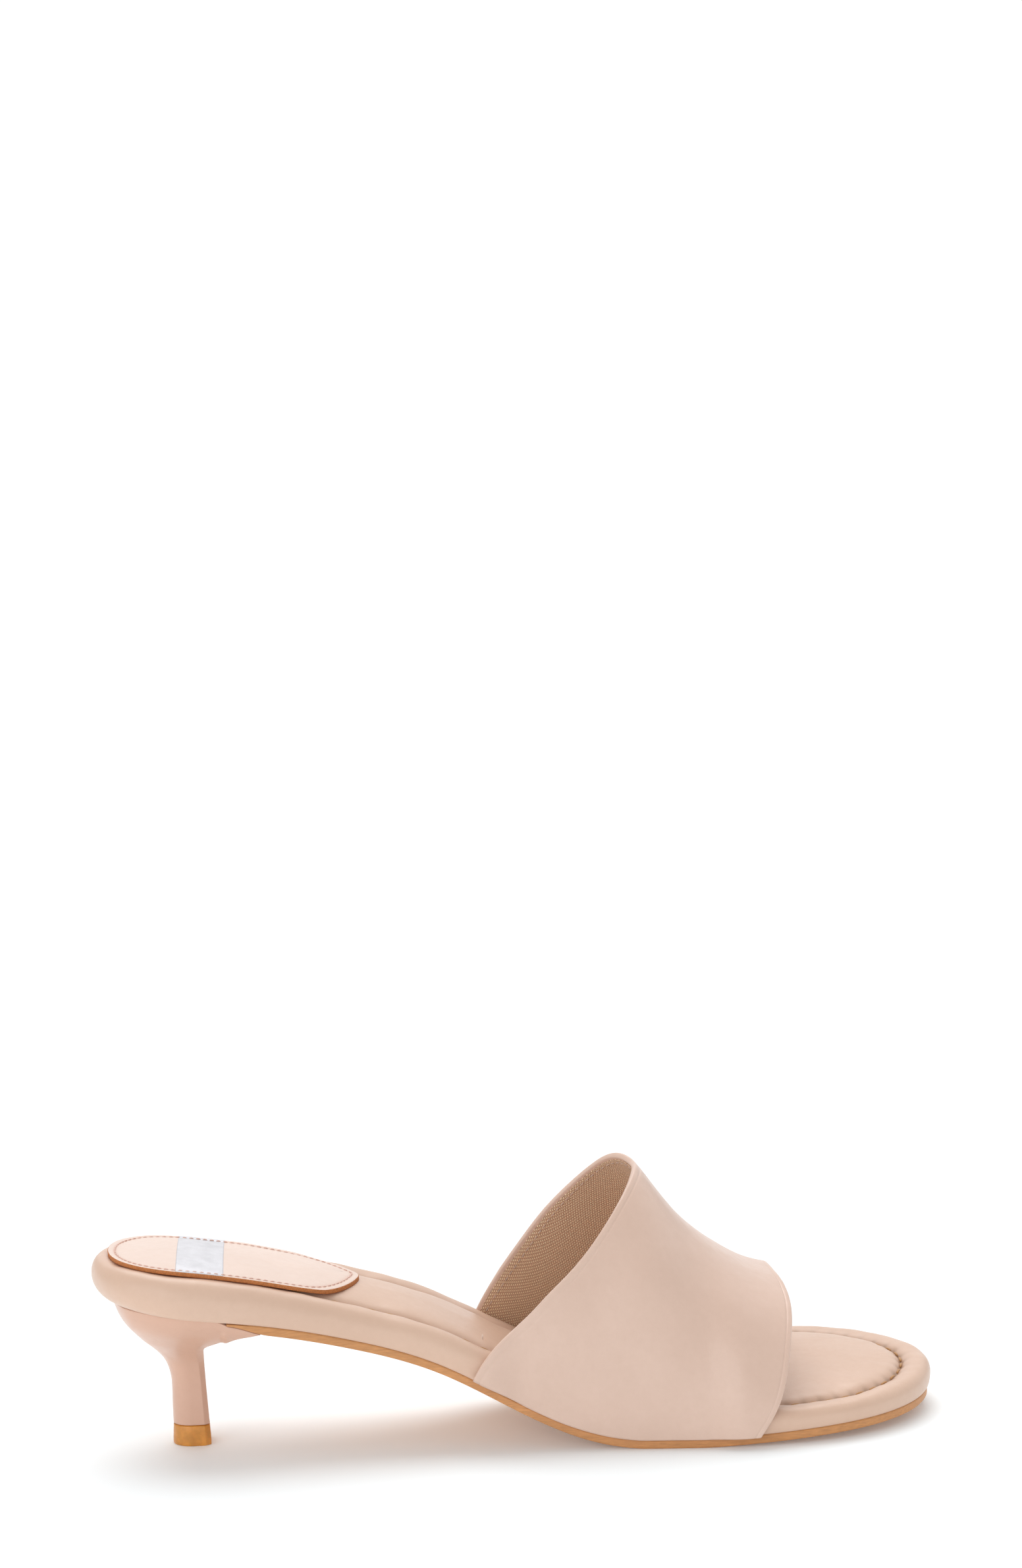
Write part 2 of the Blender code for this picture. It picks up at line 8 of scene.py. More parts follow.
import bmesh
import bpy
import numpy as np
from mathutils import Matrix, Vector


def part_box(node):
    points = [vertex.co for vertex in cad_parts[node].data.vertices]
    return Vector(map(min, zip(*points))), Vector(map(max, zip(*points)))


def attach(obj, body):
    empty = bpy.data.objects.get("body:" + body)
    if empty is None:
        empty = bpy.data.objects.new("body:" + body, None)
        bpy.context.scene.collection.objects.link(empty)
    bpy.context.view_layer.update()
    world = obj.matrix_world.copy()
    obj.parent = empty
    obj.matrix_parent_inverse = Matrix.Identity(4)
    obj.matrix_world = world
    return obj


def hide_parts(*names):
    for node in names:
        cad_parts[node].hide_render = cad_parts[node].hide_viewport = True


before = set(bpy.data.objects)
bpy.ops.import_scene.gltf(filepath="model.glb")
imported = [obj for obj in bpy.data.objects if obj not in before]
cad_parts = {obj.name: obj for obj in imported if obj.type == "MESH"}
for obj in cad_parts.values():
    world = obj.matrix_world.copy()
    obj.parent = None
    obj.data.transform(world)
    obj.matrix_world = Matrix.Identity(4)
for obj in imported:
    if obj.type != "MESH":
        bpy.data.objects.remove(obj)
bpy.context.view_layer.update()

bl_info = {
    "name": "Slide sandal",
    "version": (1, 0, 0),
    "blender": (4, 5, 0),
    "location": "3D View > Sidebar > Sandal",
    "description": "Builds the pieces of a kitten heel slide around its solid model",
    "category": "Object",
}

FOOTBED_LOW, FOOTBED_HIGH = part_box("footbed")
LIFT_LOW, LIFT_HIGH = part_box("top_lift")
FRAME_X = FOOTBED_LOW[0]
FRAME_Y = (LIFT_LOW[1] + LIFT_HIGH[1]) / 2.0
TURN = 2.0 * math.pi

# Half-widths of the footbed, as shares of the ball width:
# share of length, lateral side, medial side
OUTLINE = (
    (0.024, 0.216, 0.221),
    (0.095, 0.324, 0.330),
    (0.205, 0.298, 0.298),
    (0.343, 0.280, 0.272),
    (0.498, 0.328, 0.339),
    (0.652, 0.393, 0.486),
    (0.790, 0.423, 0.578),
    (0.900, 0.350, 0.522),
    (0.971, 0.182, 0.330),
)

# Height of the outsole's underside: share of length, share of heel rise, share of toe spring
SIDE_LINE = (
    (0.000, 0.955, 0.00),
    (0.100, 0.888, 0.00),
    (0.199, 0.805, 0.00),
    (0.299, 0.678, 0.00),
    (0.398, 0.497, 0.00),
    (0.498, 0.210, 0.00),
    (0.577, 0.040, 0.00),
    (0.657, -0.005, 0.00),
    (0.736, -0.003, 0.16),
    (0.836, 0.000, 0.49),
    (0.916, 0.000, 0.72),
    (1.000, 0.000, 1.00),
)

# Thickness of the footbed: share of length, then as shares of its thickness the lateral side and the
# medial side, which is higher at the arch
FOOTBED_DEPTH = (
    (0.00, 0.93, 0.93),
    (0.13, 0.94, 0.97),
    (0.24, 0.84, 1.01),
    (0.34, 0.79, 1.03),
    (0.43, 0.86, 1.01),
    (0.52, 0.97, 1.00),
    (0.66, 0.88, 0.93),
    (0.80, 0.58, 0.80),
    (0.90, 0.55, 0.76),
    (1.00, 0.67, 0.73),
)

# Band edges from the sole (0) to the crest (1): share of the arch, then as shares of the footbed's
# length the back edge on the lateral side, the back edge on the medial side, and the front edge
BAND_EDGES = (
    (0.00, 0.431, 0.443, 0.760),
    (0.10, 0.475, 0.473, 0.776),
    (0.25, 0.518, 0.509, 0.790),
    (0.45, 0.567, 0.548, 0.800),
    (0.70, 0.613, 0.598, 0.809),
    (1.00, 0.636, 0.636, 0.807),
)

# Crest of the band: share of length, share of the instep height
CREST = (
    (0.597, 1.058),
    (0.637, 0.969),
    (0.677, 0.804),
    (0.716, 0.686),
    (0.756, 0.598),
    (0.796, 0.542),
    (0.836, 0.514),
)

# Fullness of the band's section: share of length, exponent of the cosine
FULLNESS = (
    (0.50, 0.92),
    (0.85, 0.76),
)

# Soft troughs and ridges of the band: share along it from back to front, share over it from the lateral
# sole (-1) by the crest (0) to the medial sole (1), reach along, reach over, height in metres
BAND_RELIEF = (
    (0.62, -0.42, 0.30, 0.16, -0.0004),
    (0.80, -0.80, 0.16, 0.14, 0.0003),
    (0.30, -0.62, 0.12, 0.30, 0.0003),
    (0.55, -0.18, 0.10, 0.22, -0.0003),
    (0.45, 0.50, 0.25, 0.20, -0.0004),
)

# Heel pad half-widths, as shares of the ball width: share of its length, lateral side, medial side
HEEL_PAD_OUTLINE = (
    (0.020, 0.108, 0.112),
    (0.080, 0.192, 0.200),
    (0.245, 0.258, 0.268),
    (0.420, 0.256, 0.262),
    (0.600, 0.240, 0.238),
    (0.740, 0.220, 0.210),
    (0.865, 0.172, 0.160),
    (0.955, 0.075, 0.098),
)

# Heel body from the top lift (0) to the seat (1): share of its height, and how far the back, the
# front and the sides have gone over from the stem to the seat
HEEL_FLARE = (
    (0.000, 0.000, 0.000, 0.000),
    (0.120, 0.000, -0.012, -0.004),
    (0.240, -0.005, -0.025, -0.008),
    (0.360, 0.000, -0.035, -0.004),
    (0.450, 0.045, -0.042, 0.025),
    (0.530, 0.135, -0.045, 0.085),
    (0.600, 0.280, -0.045, 0.210),
    (0.650, 0.405, -0.042, 0.330),
    (0.690, 0.515, -0.010, 0.435),
    (0.740, 0.635, 0.160, 0.565),
    (0.810, 0.790, 0.380, 0.745),
    (0.880, 0.900, 0.590, 0.875),
    (0.940, 0.960, 0.800, 0.950),
    (1.000, 1.000, 1.000, 1.000),
)


def tint(red, green, blue):
    """Colour in the scene's linear values, from the 0 to 255 steps of a colour chart."""
    shares = np.array([red, green, blue]) / 255.0
    linear = np.where(shares <= 0.04045, shares / 12.92, ((shares + 0.055) / 1.055) ** 2.4)
    return tuple(float(value) for value in linear) + (1.0,)


def length_property(name, description, default):
    """A length that the user may change, in metres."""
    return bpy.props.FloatProperty(name=name, description=description, default=default, min=0.0,
                                   precision=5, unit="LENGTH", subtype="DISTANCE")


def colour_property(name, description, chart):
    """A colour that the user may change, given by its steps on a colour chart."""
    return bpy.props.FloatVectorProperty(name=name, description=description, size=4, min=0.0, max=1.0,
                                         subtype="COLOR", default=tint(*chart))


class SandalSizes(bpy.types.PropertyGroup):
    """Sizes that the pieces are worked out from."""

    length: length_property("Length", "Footbed from heel to toe", FOOTBED_HIGH[0] - FOOTBED_LOW[0])
    ball_width: length_property("Ball width", "Width that the outline's shares are taken of", 0.0855)
    heel_rise: length_property("Heel rise", "Rise of the outsole at the heel", 0.0465)
    toe_spring: length_property("Toe spring", "Rise of the outsole at the toe", 0.0038)
    instep_height: length_property("Instep height", "Height that the crest's shares are taken of", 0.0800)
    outsole_thickness: length_property("Outsole thickness", "Thickness of the outsole", 0.0024)
    outsole_skived: length_property("Skived thickness", "Thickness of the outsole under the heel", 0.0006)
    outsole_inset: length_property("Outsole inset", "Outsole's edge inside the footbed's", 0.0009)
    outsole_start: length_property("Outsole start", "Where the outsole starts under the heel", 0.038)
    footbed_thickness: length_property("Footbed thickness", "Thickness of the padded footbed", 0.0120)
    roll_top: length_property("Roll top", "Distance of the roll's top from the outline", 0.0044)
    channel_inset: length_property("Channel inset", "Distance of the stitched channel", 0.0088)
    channel_depth: length_property("Channel depth", "Depth of the stitched channel", 0.0024)
    channel_reach: length_property("Channel reach", "Width over which the channel fades", 0.0016)
    band_wall: length_property("Band wall", "Thickness of the band", 0.0018)
    pad_thickness: length_property("Heel pad thickness", "Thickness of the heel pad", 0.0012)
    lift_height: length_property("Top lift height", "Height of the top lift", LIFT_HIGH[2] - LIFT_LOW[2])
    stitch_pitch: length_property("Stitch pitch", "Distance from stitch to stitch in the channel", 0.0054)
    thread: length_property("Thread", "Thickness of the sewing thread", 0.00070)


class SandalColours(bpy.types.PropertyGroup):
    """Colours of the finishes."""

    upper: colour_property("Band leather", "Nude leather of the band", (219, 189, 172))
    footbed: colour_property("Footbed leather", "Leather of the padded footbed", (217, 184, 162))
    # The heel pad's leather is lighter than the footbed's: partly its own colour, partly painted light for
    # the brighter light at the heel
    pad: colour_property("Heel pad leather", "Leather of the heel pad", (232, 209, 196))
    heel: colour_property("Heel leather", "Leather that covers the heel", (214, 173, 151))
    outsole: colour_property("Outsole", "Tan leather of the outsole", (206, 146, 92))
    lift: colour_property("Top lift", "Amber rubber of the top lift", (214, 146, 62))
    raw_edge: colour_property("Raw edge", "Cut edge of the heel pad", (186, 116, 64))
    thread: colour_property("Channel thread", "Thread of the footbed's channel", (186, 138, 84))
    pad_thread: colour_property("Pad thread", "Thread of the heel pad", (232, 196, 182))
    weave: colour_property("Lining", "Woven lining of the band", (236, 190, 158))
    foil: colour_property("Foil", "Bare foil panel on the heel pad", (214, 213, 217))


# Room left between neighbouring pieces
GAP = 0.0003
BAND_GAP = 0.0005
OUTSOLE_CLEARANCE = 0.00003
HEEL_CLEARANCE = 0.00004

# Footbed: its lower edge's inset, the lengths over which its shares blend, and its middle line
UNDER_INSET = 0.0010
UNDER_INSET_AT_HEEL = 0.0045
HEEL_ROLL_REACH = 0.030
SIDE_DEPTH_REACH = 0.026
TIP_OFFSET = 0.0064
SPINE_BACK = 0.028
SPINE_FRONT = 0.030
PAD_CROWN = 0.0016
PAD_CROWN_REACH = 0.010

# Stitched channel: where it fades in, its share of the depth between two stitches, and the leather
# that the stitches draw in, which is faint behind the band and full before it
CHANNEL_STARTS = 0.050
CHANNEL_FULL = 0.064
CHANNEL_OPEN = 0.92
# GROOVE_REACH: width of the painted shade along the channel's bottom
GROOVE_REACH = 0.0009
PUCKER_DEPTH = 0.00008
PUCKER_REACH = 0.0026
PUCKER_POWER = 1.5
PUCKER_LEAST = 0.12
PUCKER_FADE = (0.13, 0.19)

# Outsole
OUTSOLE_EDGE = 0.0005
SKIVE_LENGTH = 0.012

# Band: its press on the footbed, its crest, the groove line along its edges, and its lining
BAND_EASE = 0.003
BAND_EASE_LENGTH = 0.012
CREST_OFFSET = 0.006
CREST_ROUND = 0.05
WALL_POWER = 0.6
EDGE_GROOVE_INSET = 0.0019
EDGE_GROOVE_REACH = 0.00028
EDGE_GROOVE_DEPTH = 0.00016
LINING_INSET = 0.0012
LINING_THICKNESS = 0.00030
LINING_SEAM_INSET = 0.0026
LINING_STITCH_PITCH = 0.0022
WEAVE_PITCH = 0.00048

# Heel pad: its outline, its cut edge, its seam and the foil strip across it
HEEL_PAD_BACK = 0.0050
HEEL_PAD_LENGTH = 0.0725
HEEL_PAD_TIP_OFFSET = 0.0035
PAD_ROUNDING = 0.00035
PAD_SEAM_INSET = 0.0021
PAD_SEAM_REACH = 0.0006
PAD_SEAM_DEPTH = 0.00016
PAD_STITCH_PITCH = 0.0020
FOIL_START = 0.0249
FOIL_WIDTH = 0.0134
FOIL_SLANT = 0.0121
FOIL_MARGIN = 0.00025
FOIL_RISE = 0.00007
FOIL_THICKNESS = 0.00010

# Heel and top lift: the seat's section, the stem's section and its cut front corners
SEAT_LENGTH = 0.0475
SEAT_INSET = 0.0010
SEAT_ROUND = 0.2
STEM_BACK = 0.0213
STEM_LENGTH = 0.0105
STEM_WIDTH = 0.0104
STEM_ROUND = 0.55
CORNER_CUT = 0.14
CORNER_DEPTH = 0.20
TOP_LIFT_FLARE = 0.0003


def spline(knots, values, at):
    """Cubic curve through the knots, straight at both ends, read at the places in at."""
    knots, values, at = (np.asarray(part, dtype=float) for part in (knots, values, at))
    step = np.diff(knots)
    slope = np.diff(values) / step
    count = len(knots)
    system = np.eye(count)
    right = np.zeros(count)
    for row in range(1, count - 1):
        system[row, row - 1:row + 2] = step[row - 1], 2 * (step[row - 1] + step[row]), step[row]
        right[row] = 6 * (slope[row] - slope[row - 1])
    bend = np.linalg.solve(system, right)
    near = np.clip(np.searchsorted(knots, at) - 1, 0, count - 2)
    before = knots[near + 1] - at
    after = at - knots[near]
    span = step[near]
    cubic = (bend[near] * before ** 3 + bend[near + 1] * after ** 3) / (6 * span)
    start = (values[near] / span - bend[near] * span / 6) * before
    end = (values[near + 1] / span - bend[near + 1] * span / 6) * after
    return cubic + start + end


def read(table, number, at):
    """Cubic curve of a table's column over its first column, read at the places in at."""
    return spline([row[0] for row in table], [row[number] for row in table], at)


def ease(value, start, end):
    """0 before start, 1 past end, with a smooth step between them."""
    share = np.clip((np.asarray(value, dtype=float) - start) / (end - start), 0.0, 1.0)
    return share * share * (3.0 - 2.0 * share)


def closed_curve(table, back, length, width, tip_offset, turn):
    """Plan curve at the angle turn: 0 at the back, pi at the tip, the medial side first.

    x = back + length (1 - cos turn) / 2, and y is a cubic in turn through the table's half-widths.
    """
    turns = [math.acos(1.0 - 2.0 * row[0]) for row in table]
    medial = [row[2] * width for row in table]
    lateral = [-row[1] * width for row in table]
    knots = [0.0] + turns + [math.pi] + [TURN - angle for angle in reversed(turns)]
    values = [0.0] + medial + [tip_offset] + list(reversed(lateral))
    knots = [knot - TURN for knot in knots] + knots + [knot + TURN for knot in knots]
    return back + length * (1.0 - np.cos(turn)) / 2.0, spline(knots, values * 3, turn)


def inset_curve(curve, turn, inset):
    """A plan curve moved inward by inset along its own normal, found from two points close by."""
    small = 1e-4
    x, y = curve(turn)
    ahead_x, ahead_y = curve(turn + small)
    behind_x, behind_y = curve(turn - small)
    size = np.hypot(ahead_x - behind_x, ahead_y - behind_y)
    return x + inset * (ahead_y - behind_y) / size, y - inset * (ahead_x - behind_x) / size


def nearest(x, y, curve_x, curve_y):
    """Distance from each point (x, y) to the nearest of a curve's points, worked out in blocks."""
    flat_x, flat_y = np.ravel(x), np.ravel(y)
    away = np.empty(len(flat_x))
    block = 8000
    for start in range(0, len(flat_x), block):
        part = slice(start, start + block)
        gap_x = flat_x[part, None] - curve_x
        gap_y = flat_y[part, None] - curve_y
        away[part] = np.sqrt(np.min(gap_x * gap_x + gap_y * gap_y, axis=1))
    return away.reshape(np.shape(x))


def path_length(points):
    """Length gone at each point of a path."""
    return np.concatenate(([0.0], np.cumsum(np.linalg.norm(np.diff(points, axis=0), axis=-1))))


def unit(vectors):
    """Vectors of length one."""
    return vectors / np.maximum(np.linalg.norm(vectors, axis=-1, keepdims=True), 1e-12)


def upright(tangents):
    """Unit vectors square to the tangents and as near to straight up as they can be."""
    return unit(np.array((0.0, 0.0, 1.0)) - tangents * tangents[:, 2:3])


def along_path(point_at, known, places, nearby):
    """Points of a path at the places, and its unit tangents from a small step both ways. The path's
    function takes what is known of it, and then the places."""
    before, points, after = (point_at(*known, places + shift) for shift in (-nearby, 0.0, nearby))
    return points, unit(after - before)


def drawn_in(edge, middle, share):
    """x and y of rings that have gone that share of the way from an edge curve to a middle line."""
    return [outer + share * (inner - outer) for outer, inner in zip(edge, middle)]


class Form:
    """Outlines, heights and sections of the sandal, worked out from its sizes."""

    def __init__(self, sizes):
        self.sizes = sizes
        edge = np.linspace(0.0, TURN, 720)
        self.edge_x, self.edge_y = self.outline(edge)

    def turn_at(self, x):
        """Angle of the outline on the medial side at x."""
        return np.arccos(np.clip(1.0 - 2.0 * np.asarray(x) / self.sizes.length, -1.0, 1.0))

    def squeeze(self, x):
        """How far the band presses the footbed's rim in at x, eased in at both of its edges."""
        back = BAND_EDGES[0][1] * self.sizes.length + BAND_EASE
        front = BAND_EDGES[0][3] * self.sizes.length - BAND_EASE
        pressed = ease(x, back, back + BAND_EASE_LENGTH) * (1.0 - ease(x, front - BAND_EASE_LENGTH, front))
        return (self.sizes.band_wall + BAND_GAP) * pressed

    def outline(self, turn, squeezed=True):
        """Plan outline of the footbed at the angle turn."""
        sizes = self.sizes
        x, y = closed_curve(OUTLINE, 0.0, sizes.length, sizes.ball_width, TIP_OFFSET, turn)
        if squeezed:
            y = y - np.sign(np.sin(turn)) * self.squeeze(x)
        return x, y

    def free_outline(self, turn):
        """Plan outline of the sole, not pressed in by the band."""
        return self.outline(turn, squeezed=False)

    def side_y(self, x, side):
        """y of the outline at x, where side is 1 for medial and -1 for lateral, number or array."""
        turn = self.turn_at(x)
        return self.outline(np.where(np.asarray(side) < 0, TURN - turn, turn))[1]

    def spine(self, turn, back=SPINE_BACK, front=SPINE_FRONT):
        """Middle line of the footbed, on which the rings of its top and underside close."""
        x = back + (self.sizes.length - back - front) * (1.0 - np.cos(turn)) / 2.0
        return x, (self.side_y(x, 1) + self.side_y(x, -1)) / 2.0

    def ground_line(self, x):
        """Height of the outsole's underside: the heel's rise behind the ball, the toe spring before it."""
        share = np.asarray(x) / self.sizes.length
        rise = self.sizes.heel_rise * read(SIDE_LINE, 1, share)
        spring = self.sizes.toe_spring * read(SIDE_LINE, 2, share)
        return np.maximum(rise + spring, 0.0)

    def seat(self, x):
        """Height of the footbed's underside."""
        return self.ground_line(x) + self.sizes.outsole_thickness + GAP

    def footbed_depth(self, x, y):
        """Thickness of the footbed: the table's lateral and medial values, blended over the middle."""
        share = np.asarray(x) / self.sizes.length
        lateral, medial = (read(FOOTBED_DEPTH, number, share) for number in (1, 2))
        across = ease(y, -SIDE_DEPTH_REACH, SIDE_DEPTH_REACH)
        return self.sizes.footbed_thickness * (lateral + (medial - lateral) * across)

    def outsole_depth(self, x):
        """Thickness of the outsole, skived away towards its start under the heel."""
        sizes = self.sizes
        full = ease(x, sizes.outsole_start, sizes.outsole_start + SKIVE_LENGTH)
        return sizes.outsole_skived + (sizes.outsole_thickness - sizes.outsole_skived) * full

    def under_inset(self, x):
        """Distance of the footbed's lower edge from its outline, larger round the heel."""
        behind = 1.0 - ease(x, 0.0, HEEL_ROLL_REACH)
        return UNDER_INSET + (UNDER_INSET_AT_HEEL - UNDER_INSET) * behind

    def channel(self, x, inset):
        """Depth of the stitched channel, which fades out under the heel pad."""
        away = np.abs(inset - self.sizes.channel_inset) / self.sizes.channel_reach
        return self.sizes.channel_depth * np.exp(-away) * ease(x, CHANNEL_STARTS, CHANNEL_FULL)

    def crown(self, inset):
        """Rise of the inner pad over the roll's top."""
        past = np.maximum(inset - self.sizes.channel_inset, 0.0)
        return PAD_CROWN * (1.0 - np.exp(-past / PAD_CROWN_REACH))

    def plain_top(self, x, y, inset):
        """Height of the footbed's top without its channel: a quarter ellipse over the roll, then flat."""
        depth = self.footbed_depth(x, y)
        short = np.clip(1.0 - inset / self.sizes.roll_top, 0.0, 1.0)
        roll = depth / 2.0 + depth / 2.0 * np.sqrt(1.0 - short * short)
        return self.seat(x) + roll + self.crown(inset)

    def inset_at(self, x, y):
        """Distance from each point (x, y) to the footbed's outline."""
        return nearest(x, y, self.edge_x, self.edge_y)

    def crest_height(self, x):
        """Height of the inside of the band at its crest."""
        crest = read(CREST, 1, np.asarray(x) / self.sizes.length)
        return self.sizes.instep_height * crest - self.sizes.band_wall

    def band_inside(self, along, over):
        """Inside of the band: along from its back to its front edge, over from the lateral sole (-1) by
        the crest (0) to the medial sole (1).

        At each x the section is y = crest + (rim - crest) cos(a)^n and z = sole + (top - sole) sin(a),
        where a is a quarter turn at the crest. The edges' curves are rounded where they pass the crest.
        """
        swept = np.sqrt(over * over + CREST_ROUND ** 2) - CREST_ROUND
        swept = swept / (math.sqrt(1.0 + CREST_ROUND ** 2) - CREST_ROUND)
        arch = 1.0 - np.abs(over)
        edge = 1.0 - swept
        back = np.where(over > 0.0, read(BAND_EDGES, 2, edge), read(BAND_EDGES, 1, edge))
        front = read(BAND_EDGES, 3, edge)
        x = self.sizes.length * (back + along * (front - back))
        angle = arch * math.pi / 2.0
        side = np.where(over > 0.0, 1.0, -1.0)
        rim = self.side_y(x, side) + side * BAND_GAP
        power = read(FULLNESS, 1, x / self.sizes.length)
        across = np.clip(np.cos(angle), 0.0, 1.0) ** power
        y = CREST_OFFSET + (rim - CREST_OFFSET) * across
        z = self.seat(x) + (self.crest_height(x) - self.seat(x)) * np.sin(angle)
        return np.stack((x, y, z), axis=-1)

    def band_surface(self, along, over):
        """Points of the inside of the band, its outward unit normals and unit tangents from back to front,
        from small steps both ways."""
        small = 1e-3
        over = np.clip(over, small - 1.0, 1.0 - small)
        ahead = self.band_inside(along + small, over) - self.band_inside(along - small, over)
        across = self.band_inside(along, over + small) - self.band_inside(along, over - small)
        normal = unit(np.cross(ahead, across))
        return self.band_inside(along, over), normal, unit(ahead)

    def pad_curve(self, turn):
        """Plan outline of the heel pad."""
        return closed_curve(HEEL_PAD_OUTLINE, HEEL_PAD_BACK, HEEL_PAD_LENGTH, self.sizes.ball_width,
                            HEEL_PAD_TIP_OFFSET, turn)

    def pad_top(self, x, y):
        """Height of the heel pad's top."""
        return self.plain_top(x, y, self.inset_at(x, y)) + GAP + self.sizes.pad_thickness


def waver(points, size, seed):
    """Smooth uneven value from -1 to 1 at each point: a sum of sine waves of about that size, in
    directions drawn from the seed."""
    draw = np.random.default_rng(seed)
    waves = unit(draw.normal(size=(7, 3))) * TURN / size * draw.uniform(0.7, 1.5, size=(7, 1))
    shift = draw.uniform(0.0, TURN, size=7)
    return np.sin(points @ waves.T + shift).sum(axis=-1) / 4.0


def grid_faces(rows, columns, wrap_rows=False, wrap_columns=False):
    """Quads of a grid of rows and columns of points, joined up round where it wraps."""
    row = np.arange(rows if wrap_rows else rows - 1)[:, None]
    place = np.arange(columns if wrap_columns else columns - 1)[None, :]
    below = (row + 1) % rows
    after = (place + 1) % columns
    corners = [this_row * columns + this_place for this_row, this_place in (
        (row, place), (row, after), (below, after), (below, place))]
    return np.stack(corners, axis=-1).reshape(-1, 4)


def repeat_faces(faces, size, count):
    """The faces of a shape of that many points, once for each copy of it."""
    return (faces[None, :, :] + size * np.arange(count)[:, None, None]).reshape(-1, 4)


def cap_faces(rows, columns, outer_rows):
    """Quads that close both open ends of a loop of rows: the first outer_rows are joined to the rest."""
    caps = []
    for place in (0, columns - 1):
        ring = np.arange(rows) * columns + place
        first, last = ring[:outer_rows], ring[outer_rows:][::-1]
        last = last[np.round(np.linspace(0, len(last) - 1, outer_rows)).astype(int)]
        caps.append(np.stack((first[:-1], first[1:], last[1:], last[:-1]), axis=-1))
    return np.concatenate(caps)


def add_object(name, data):
    """An object of that mesh, lamp or camera in the scene."""
    new = bpy.data.objects.new(name, data)
    bpy.context.scene.collection.objects.link(new)
    return new


def sandal(context):
    """Sizes and colours that the user has set, and the forms worked out from the sizes."""
    sizes = context.scene.sandal_sizes
    return sizes, context.scene.sandal_colours, Form(sizes)


def make_piece(name, points, faces, materials, values=None, uv=None, face_materials=None):
    """One piece from arrays: its mesh in the frame, merged at seams and poles, faces outward, smooth.

    values holds named numbers for each point, and uv the flat place of each point in metres.
    """
    points = np.asarray(points, dtype=float).reshape(-1, 3) + (FRAME_X, FRAME_Y, 0.0)
    mesh = bpy.data.meshes.new(name)
    mesh.vertices.add(len(points))
    mesh.vertices.foreach_set("co", points.ravel())
    mesh.loops.add(faces.size)
    mesh.loops.foreach_set("vertex_index", faces.ravel().astype(np.int32))
    mesh.polygons.add(len(faces))
    mesh.polygons.foreach_set("loop_start", np.arange(0, faces.size, 4, dtype=np.int32))
    mesh.update(calc_edges=True)
    for label, numbers in (values or {}).items():
        layer = mesh.attributes.new(label, "FLOAT", "POINT")
        layer.data.foreach_set("value", np.ravel(numbers).astype(np.float32))
    if uv is not None:
        layer = mesh.uv_layers.new(name="cloth")
        corners = np.asarray(uv).reshape(-1, 2)[faces.ravel()]
        layer.data.foreach_set("uv", corners.ravel().astype(np.float32))
    if face_materials is not None:
        mesh.polygons.foreach_set("material_index", np.ravel(face_materials).astype(np.int32))
    for material in materials:
        mesh.materials.append(material)
    body = bmesh.new()
    body.from_mesh(mesh)
    bmesh.ops.remove_doubles(body, verts=body.verts, dist=2e-6)
    bmesh.ops.dissolve_degenerate(body, edges=body.edges, dist=1e-7)
    bmesh.ops.recalc_face_normals(body, faces=body.faces)
    body.to_mesh(mesh)
    body.free()
    mesh.shade_smooth()
    piece = add_object(name, mesh)
    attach(piece, "root")
    return piece


def make_rings(name, points, material, values=None):
    """One piece from a grid of points whose rows are closed rings."""
    faces = grid_faces(*points.shape[:2], wrap_columns=True)
    return make_piece(name, points, faces, [material], values)


def stitch_row(centres, along, up, length, thread):
    """Points and faces of a row of stitches, each a short thread that dips at both ends.

    A stitch runs along t from -1 to 1: its middle line sinks by a share of t^2, and its round section
    shrinks with the fourth root of 1 - t^4.
    """
    rings, around = 7, 8
    t = np.linspace(-1.0, 1.0, rings)
    turn = np.arange(around) * TURN / around
    side = unit(np.cross(up, along))
    radius = thread / 2.0 * np.clip(1.0 - t ** 4, 0.0, 1.0) ** 0.25
    line = (centres[:, None, :] + along[:, None, :] * (t * length / 2.0)[None, :, None]
            - up[:, None, :] * (t * t * thread * 0.45)[None, :, None])
    ring = (side[:, None, None, :] * np.cos(turn)[None, None, :, None]
            + up[:, None, None, :] * np.sin(turn)[None, None, :, None])
    points = line[:, :, None, :] + ring * radius[None, :, None, None]
    faces = repeat_faces(grid_faces(rings, around, wrap_columns=True), rings * around, len(centres))
    return points, faces


# Materials


